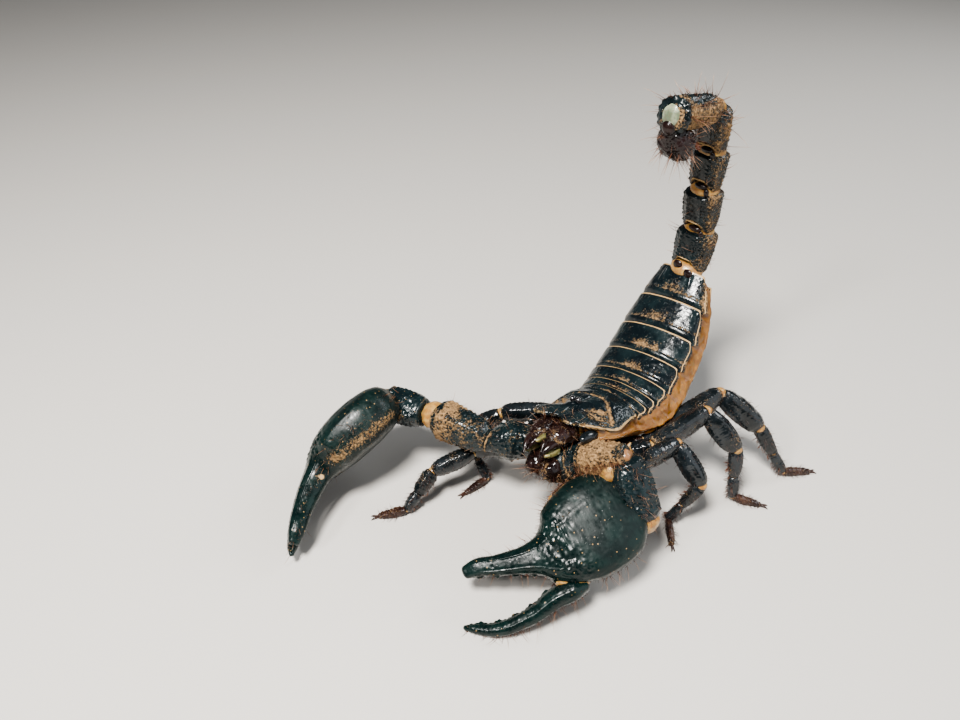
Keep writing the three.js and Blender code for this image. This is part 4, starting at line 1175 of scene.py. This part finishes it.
def shoulder_knob(arm, letter):
    """The round end of the trochanter, with a muddy band and a pale crescent."""
    knob = ball(arm.shoulder, [3.8 if letter == "L" else 2.1] * 3, None, 60, 90)
    way = (knob.points - arm.shoulder) @ unit(arm.elbow - arm.shoulder)
    angle = np.arccos(np.clip(way / np.linalg.norm(knob.points - arm.shoulder, axis=1), -1, 1))
    band = bell(angle - 1.58, 0.1) + 0.8 * bell(angle - 1.0, 0.06)
    low = smooth(1.0, -1.0, (knob.points - arm.shoulder) @ UP)
    crescent = 0.75 * bell(angle - 1.25, 0.1) * low * (letter == "L")
    lift = 0.25 * band + 0.15 * crescent + 0.12 * noise(knob.points, 0.8, 98)
    knob.points = knob.points + unit(knob.points - arm.shoulder) * lift[:, None]
    knob.layers["mud"] = 0.25 + 0.6 * band
    knob.layers["pale"] = 0.8 * crescent
    return knob


SMALL_TOOTH = 0.45  # half the distance from one small tooth of a claw finger to the next


def tooth_row(run, big, spacing):
    """Small teeth along a finger, with big ones among them at a spacing."""
    return 0.4 + 0.3 * np.cos(run * math.pi / SMALL_TOOTH) + big * np.cos(run * math.pi / spacing) ** 6


def claw_hand(arm, seed):
    """The swollen hand with its fixed finger, faint keels, and grains at the finger's root, tinted pale on
    top as a painted highlight.
    """
    stations = [(arm.in_plane(x, 0.5 * (inner + outer)), 0.5 * (outer - inner), high)
                for x, inner, outer, high in HAND_OUTLINE]
    limb = sweep(stations, arm.outer, 190, 170, 2.9, (0.5, 0.7))
    x = limb.run / limb.length
    top = 90 if arm.side < 0 else 270
    upper = smooth(2.0, 0.9, away(limb.turn, top))
    finger = smooth(0.5, 0.6, x)
    keels = ridge(limb, top - 18, 0.07) + ridge(limb, top + 28, 0.07)
    keels = keels + 0.8 * ridge(limb, top + 65, 0.07)
    keels = keels * window(0.08, 0.3, 0.85, 0.97, x)
    edge = ridge(limb, 0, 0.16) * finger * (1 - smooth(0.95, 1, x))
    teeth = edge * tooth_row(limb.run, 1.3, 3.1)
    root = bell(x - 0.49, 0.08) * smooth(1.2, 0.5, away(limb.turn, top))
    # Grains at the finger's root: real bumps, with a pale tint that is a painted highlight.
    grains_with_painted_highlight = root * grains(limb.points, 0.9, seed, 0.5)
    lumps = noise(limb.points, 3.0, seed + 1)
    fine = grains(limb.points, 0.55, seed + 2, 0.5)
    pits = grains(limb.points, 1.3, seed + 3, 0.3)
    limb = raise_skin(limb, 0.1 * keels + 0.3 * teeth + 0.3 * grains_with_painted_highlight + 0.1 * lumps + 0.02 * fine
                      + 0.02 * noise(limb.points, 1.0, seed + 4) - 0.06 * pits * (1 - root))
    rest_on_floor(limb.points)
    below = 1 - upper
    mud = 0.02 + 0.2 * below * (arm.side > 0) + 0.1 * lumps + 0.1 * keels + 0.3 * bell(x - 0.02, 0.05)
    if arm.side < 0:
        middle = mix(214, 186, np.clip(x / 0.6, 0, 1))
        stripe = ridge(limb, middle, 0.27) * window(0.02, 0.1, 0.5, 0.62, x)
        shaded = smooth(0.9, 0.4, away(limb.turn, middle + 50)) * window(0.03, 0.15, 0.5, 0.7, x)
        mud = mud + 0.75 * stripe * (1 - 0.6 * pits) + 0.2 * shaded
    else:
        mud = mud + 0.5 * ridge(limb, 183, 0.22) * window(0.05, 0.15, 0.42, 0.55, x)
    spot = bell(x - 0.635, 0.02) * 0.8 * ridge(limb, 190, 0.25) * (arm.side < 0)
    satin = smooth(0.5, 0.38, x) * (1 - 0.3 * below)
    # The pale share of the root grains is a painted highlight; the pale teeth and the pale spot are the
    # claw's own colour.
    return limb, tube(limb.points, mud=mud, pale=0.3 * grains_with_painted_highlight + 0.25 * teeth + spot, satin=satin)


def claw_finger(arm, seed):
    """The movable finger, with a row of teeth along its inner edge."""
    c, s = math.cos(arm.stance.shut * DEG), math.sin(arm.stance.shut * DEG)
    stations = []
    for x, y, wide, high in FINGER_OUTLINE:
        dx, dy = x - FINGER_HINGE.along, y - FINGER_HINGE.across
        at = arm.in_plane(FINGER_HINGE.along + dx * c + dy * s, FINGER_HINGE.across - dx * s + dy * c)
        stations.append((at, wide, high))
    limb = sweep(stations, arm.outer, 130, 90, 2.2, (0.6, 0.5))
    x = limb.run / limb.length
    edge = ridge(limb, 180, 0.16) * window(0.15, 0.3, 0.95, 1, x)
    teeth = edge * tooth_row(limb.run, 1.2, 3.3)
    keels = ridges(limb, (-35, 35, 90, 270), 0.1) * smooth(0.05, 0.2, x) * (1 - x)
    lumps = noise(limb.points, 1.8, seed)
    limb = raise_skin(limb, 0.24 * teeth + 0.14 * keels + 0.1 * lumps
                      + 0.04 * grains(limb.points, 0.6, seed + 1))
    rest_on_floor(limb.points)
    return limb, tube(limb.points, mud=0.06 + 0.15 * lumps + 0.1 * keels, pale=0.2 * teeth)


def claw_arm(letter, seed):
    arm = arm_joints(letter)
    limbs = {}
    for k, part in enumerate(("trochanter", "femur", "patella")):
        limbs[part], made = upper_arm(arm, letter, part, seed + 10 * k)
        make_piece(f"claw_{letter}_{part}", made, ARM_HORN, "claw", f"pedipalp_{letter}_{part}")
    limbs["hand"], made = claw_hand(arm, seed + 40)
    make_piece(f"claw_{letter}_manus", made, CLAW, "claw", f"pedipalp_{letter}_hand")
    limbs["finger"], made = claw_finger(arm, seed + 50)
    make_piece(f"claw_{letter}_moving_finger", made, CLAW, "claw", f"pedipalp_{letter}_finger")
    hinge = arm.in_plane(FINGER_HINGE.along - 0.3, FINGER_HINGE.across - 1.2)
    fold = unit(arm.elbow - arm.shoulder)
    pad = arm.elbow - fold * 2.2 + np.array([0.5 * arm.side, -0.8, -2.3])
    web = arm.in_plane(FINGER_HINGE.along + 2.2, FINGER_HINGE.across - 1.9)
    shoulder, elbow, elbow_mud = (1.7, 2.85, 0.3) if letter == "R" else (2.3, 1.5, 0.8)
    places = [(arm.coxa, 1.6, 0.3), (arm.shoulder, shoulder, 0.5), (arm.elbow, elbow, elbow_mud),
              (arm.wrist, 2.9, 0.0), (hinge, 2.1, 0.1), (web, 1.7, 0.0)]
    if letter == "L":
        places.append((pad, 2.4, 0.4))
    skins = [ball(at, [size] * 3, None, 24, 40, mud=mud) for at, size, mud in places]
    for skin in skins:
        skin.points = skin.points + 0.18 * noise(skin.points, 0.9, 97)[:, None]
    return limbs, skins


# ---------------------------------------------------------------- mouthparts


def chelicera(side, seed):
    """A stout jaw with a fixed finger and a moving one, both toothed and bent down."""
    def at(t, out=0.0, down=0.0):
        return on_body(side * (SNOUT.out - 0.5 * t + out), -11.8 - SNOUT.length * t,
                       -CARAPACE.front_drop - 1.7 - 2 * t * t - down)

    rows = [(0, 0.75), (0.12, 0.95), (0.4, 1.0), (0.6, 0.86), (0.7, 0.5)]
    stout = sweep([(at(t), 0.5 * SNOUT.width * k, 0.5 * SNOUT.height * k) for t, k in rows],
                  prosoma.left, 70, 80, 2.3)
    lumps = noise(stout.points, 1.2, seed)
    veins = 1 - np.abs(noise(stout.points, 1.5, seed + 1))
    stout = raise_skin(stout, 0.14 * lumps + 0.1 * veins + 0.09 * grains(stout.points, 0.5, seed + 2))
    made = [tube(stout.points, mud=0.3 + 0.3 * smooth(0.8, 0.97, veins), pale=0.15)]
    for out, high, reach in ((-0.75, 0.75, 0.92), (0.75, 0.85, 1.0)):
        stations = [(at(0.58, out, 0.2), 0.85, high), (at(0.78, out, 0.1), 0.7, 0.7),
                    (at(0.92 * reach, 0.7 * out, 0.2), 0.45, 0.45),
                    (at(1.02 * reach, 0.3 * out, 0.8), 0.16, 0.16)]
        finger = sweep(stations, prosoma.left, 34, 28, 2)
        inward = 0 if out < 0 else 180
        inward = inward if side > 0 else 180 - inward
        teeth = ridge(finger, inward, 0.3) * (0.5 + 0.5 * np.cos(finger.run * math.pi / 0.5))
        finger = raise_skin(finger, 0.2 * teeth * smooth(0.2, 0.4, finger.run / finger.length))
        made.append(tube(finger.points, mud=0.1))
    letter = LETTERS[side]
    make_piece("jaw_" + letter, join(made), JAW, "foot", "chelicera_" + letter)
    return stout, ball(at(0.0), [1.9, 1.6, 1.7], None, 18, 30, mud=0.2)


# ---------------------------------------------------------------- bristles


def scatter(limb, count, seed, share):
    """Random roots on a limb's skin, thicker where share is greater."""
    draw = np.random.default_rng(seed)
    rows, cols, _ = limb.points.shape
    along = np.gradient(limb.points, axis=0)
    across = 0.5 * (np.roll(limb.points, -1, axis=1) - np.roll(limb.points, 1, axis=1))
    area = np.linalg.norm(np.cross(along, across), axis=-1)
    area = area * (1 if share is None else share) * (limb.shrink > 0.99)
    pick = draw.choice(rows * cols, count, p=(area / area.sum()).ravel())
    r, c = np.unravel_index(pick, (rows, cols))
    shift = draw.uniform(-0.5, 0.5, (count, 2, 1))
    root = limb.points[r, c] + along[r, c] * shift[:, 0] + across[r, c] * shift[:, 1]
    way = np.clip(limb.run[r, c] / limb.length, 0, 1)
    return SimpleNamespace(root=root, out=grid_normals(limb.points, True)[r, c], along=limb.direction[r],
                           turn=limb.turn[r, c] / (2 * math.pi), way=way, draw=draw)


HAIR_RINGS = (0.0, 0.3, 0.65)  # where a bristle's rings sit, as shares of its length
THIRD_TURN = 2 * math.pi / 3


def bristles(roots, length, radius, lean, tile):
    """Tapered bristles of three sides. tile is the place of the limb in the coat's unwrap."""
    draw, count = roots.draw, len(roots.root)
    lean = lean + draw.normal(0, 0.2, (count, 1))
    stray = draw.normal(0, 0.18, (count, 3))
    direction = unit(roots.out + roots.along * lean + stray)
    size = length * draw.uniform(0.5, 1.0, (count, 1))
    bend = (roots.along * 0.7 - roots.out) * 0.12 + draw.normal(0, 0.07, (count, 3))
    side = unit(np.cross(direction, stray + np.array([0.3, 0.5, 0.7])))
    other = np.cross(direction, side)
    points, tips = [], []
    for s in HAIR_RINGS + (1.0,):
        middle = roots.root + direction * size * s + bend * size * s * s - roots.out * 0.04
        if s == 1.0:
            points.append(middle[:, None])
            break
        ring = [math.cos(k * THIRD_TURN) * side + math.sin(k * THIRD_TURN) * other for k in range(3)]
        points.append(middle[:, None] + np.stack(ring, 1) * radius * (1 - s) ** 0.6)
    points = np.concatenate(points, 1)
    tips = np.array([s for s in HAIR_RINGS for _ in range(3)] + [1.0])
    quads = [[3 * r + k, 3 * r + (k + 1) % 3, 3 * r + 3 + (k + 1) % 3, 3 * r + 3 + k]
             for r in range(2) for k in range(3)]
    tris = [[6 + k, 6 + (k + 1) % 3, 9] for k in range(3)] + [[2, 1, 0]]
    start = 10 * np.arange(count)[:, None, None]
    corner = np.array([0, 1, 2] * 3 + [1]) - 1
    x = (tile[0] + 0.02 + 0.96 * roots.turn[:, None]) / tile[1] + 0.0015 * corner
    y = 0.01 + 0.98 * roots.way[:, None] + 0.003 * (tips - 0.5)
    made = shape(points, quads + start, tris + start, tip=np.tile(tips, count),
                 atlas_x=np.clip(x, 0, 1).ravel(), atlas_y=np.clip(y, 0, 1).ravel())
    rest_on_floor(made.points)
    return made


def coat(name, limbs, material, slot):
    """One piece of bristles for a list of (limb, count, length, radius, lean, share)."""
    made = [bristles(scatter(limb, count, 500 + k, share), length, radius, lean, tile=(k, len(limbs)))
            for k, (limb, count, length, radius, lean, share) in enumerate(limbs)]
    make_piece(name, join(made), material, slot)


# Bristles on each segment of a leg, and their number and length on each piece of a claw arm.
LEG_HAIRS = {"trochanter": 20, "femur": 50, "patella": 50, "tibia": 60, "metatarsus": 60, "tarsus": 70}
CLAW_HAIRS = {"hand": (300, 1.0), "finger": (160, 0.9), "patella": (90, 1.1), "femur": (300, 1.5),
              "trochanter": (120, 1.3)}


def coats(segments, sac, arms, legs, jaws, lobes):
    tail_hair, long_hair = [], []
    for k, limb in enumerate(segments):
        share = 0.25 + ridges(limb, KEELS, 0.18)
        tail_hair.append((limb, 60 if k < 4 else 170, 1.5 if k < 4 else 2.2, 0.035, 0.3, share))
        long_hair.append((limb, 12 if k < 4 else 44, 5.6 if k > 2 else 4.0, 0.05, 0.1, share))
    tail_hair.append((sac, 170, 2.0, 0.03, 0.3, None))
    long_hair.append((sac, 60, 4.6, 0.045, 0.2, None))
    coat("bristles_tail", tail_hair, BRISTLE, "shell")
    coat("bristles_tail_long", long_hair, PALE_BRISTLE, "shell")
    claw_hair, claw_long = [], []
    for arm in arms:
        for part, (count, length) in CLAW_HAIRS.items():
            limb = arm[part]
            edges = 0.02 + ridge(limb, 0, 0.4)
            if part == "hand":
                edges = 0.01 + ridge(limb, 180, 0.3) + 0.5 * ridge(limb, 0, 0.3)
            claw_hair.append((limb, count, length, 0.03, 0.4, edges))
            claw_long.append((limb, count // 6, 3.6, 0.045, 0.2, edges))
    coat("bristles_claws", claw_hair, BRISTLE, "claw")
    coat("bristles_claws_long", claw_long, PALE_BRISTLE, "claw")
    leg_hair, spines = [], []
    for limbs in legs:
        for part, count in LEG_HAIRS.items():
            limb = limbs[part]
            leg_hair.append((limb, count, 1.7, 0.035, 0.5, None))
            if part in ("tibia", "metatarsus", "tarsus"):
                spines.append((limb, 14, 1.3, 0.1, 0.6, 0.02 + ridge(limb, 90, 0.7) * limb.run))
    coat("bristles_legs", leg_hair, DARK_BRISTLE, "foot")
    coat("spines_legs", spines, BRISTLE, "foot")
    head = [(limb, 110, 1.3, 0.03, 0.7, 0.02 + ridge(limb, 270, 0.7)) for limb in jaws]
    head.extend((limb, 90, 2.0, 0.03, 0.5, None) for limb in lobes)
    coat("bristles_mouth", head, DARK_BRISTLE, "foot")
    long_head = [(limb, 26, 4.0, 0.045, 0.3, None) for limb in lobes + jaws]
    coat("bristles_mouth_long", long_head, PALE_BRISTLE, "foot")


# ---------------------------------------------------------------- the whole animal


def legs_and_arms():
    names = sorted(STANCE)
    legs = [leg(name, 200 + 50 * k) for k, name in enumerate(names)]
    arms = [claw_arm("L", 700), claw_arm("R", 800)]
    jaws = [chelicera(1, 900), chelicera(-1, 910)]
    skins = [skin for _, some in legs for skin in some]
    make_piece("leg_joint_skin", join(skins), JOINT, "soft")
    make_piece("arm_joint_skin", join([skin for _, some in arms for skin in some]), JOINT, "soft")
    make_piece("jaw_joint_skin", join([skin for _, skin in jaws]), JOINT, "soft")
    membranes = [ball(on_body(x, -17.2, z), [0.7, 2.6, 0.7], BODY_AXES, 30, 40, mud=0.2)
                 for x, z in ((0.1, -4.8), (2.3, -7.1), (-2.3, -7.1))]
    membranes = join(membranes)
    membranes.points = membranes.points + 0.3 * noise(membranes.points, 0.8, 99)[:, None]
    make_piece("mouth_membranes", membranes, MOUTH_SKIN, "soft")
    return [limbs for limbs, _ in legs], [limbs for limbs, _ in arms], [limb for limb, _ in jaws]


lobes = trunk()
segments, sac = tail()
legs, arms, jaws = legs_and_arms()
coats(segments, sac, arms, legs, jaws, lobes)

# ---------------------------------------------------------------- floor, lights and camera


def look(place, target):
    """A matrix for an object at place that looks at target."""
    ahead = (Vector(target) - Vector(place)).normalized()
    return Matrix.Translation(Vector(place)) @ ahead.to_track_quat("-Z", "Y").to_matrix().to_4x4()


def stage_floor():
    mesh = bpy.data.meshes.new("floor")
    reach = 0.8
    mesh.from_pydata([(-reach, -reach, 0), (reach, -reach, 0), (reach, reach, 0), (-reach, reach, 0)], [],
                     [(0, 1, 2, 3)])
    n = Nodes("floor")
    mesh.materials.append(n.surface((0.5, 0.48, 0.45, 1.0), 0.7))
    floor = bpy.data.objects.new("floor", mesh)
    bpy.context.scene.collection.objects.link(floor)


def area_light(name, offset, size, watts, color):
    """A soft light at an offset in metres from the animal's middle."""
    light = bpy.data.lights.new(name, "AREA")
    light.shape = "DISK"
    light.size = size
    light.energy = watts
    light.color = color
    lamp = bpy.data.objects.new(name, light)
    bpy.context.scene.collection.objects.link(lamp)
    middle = Vector((0, 0, 0.03))
    lamp.matrix_world = look(middle + Vector(offset), middle)


def photo_camera():
    """The camera stands in front of the animal, to its left and above it."""
    camera = bpy.data.cameras.new("photo_camera")
    camera.sensor_width = 36
    camera.lens = CAMERA.lens
    camera.clip_start = 0.005
    seen = bpy.data.objects.new("photo_camera", camera)
    bpy.context.scene.collection.objects.link(seen)
    ahead = Vector(heading(CAMERA.azimuth, CAMERA.elevation))
    right = ahead.cross(Vector(UP)).normalized()
    above = right.cross(ahead)
    turn = Matrix((right, above, -ahead)).transposed().to_4x4()
    x, y, z = CAMERA.stand
    stand = Vector((x + BODY_POINT[0], y + BODY_POINT[1], z)) * MM
    seen.matrix_world = Matrix.Translation(stand) @ turn
    bpy.context.scene.camera = seen


def studio():
    """Four soft lights and a faint even sky."""
    area_light("key", (0.04, -0.16, 0.31), 0.085, 3.3, (1.0, 0.97, 0.93))
    area_light("fill", (0.35, 0.1, 0.18), 0.5, 0.8, (0.95, 0.97, 1.0))
    area_light("front", (0.0, -0.4, 0.34), 0.08, 1.2, (1.0, 0.98, 0.95))
    area_light("rim", (0.1, 0.4, 0.3), 0.2, 1.0, (0.95, 0.98, 1.0))
    world = bpy.data.worlds.new("studio")
    world.use_nodes = True
    world.node_tree.nodes["Background"].inputs["Color"].default_value = (0.8, 0.84, 0.9, 1.0)
    world.node_tree.nodes["Background"].inputs["Strength"].default_value = 0.12
    bpy.context.scene.world = world
    bpy.context.scene.view_settings.look = "AgX - Medium High Contrast"


stage_floor()
studio()
photo_camera()
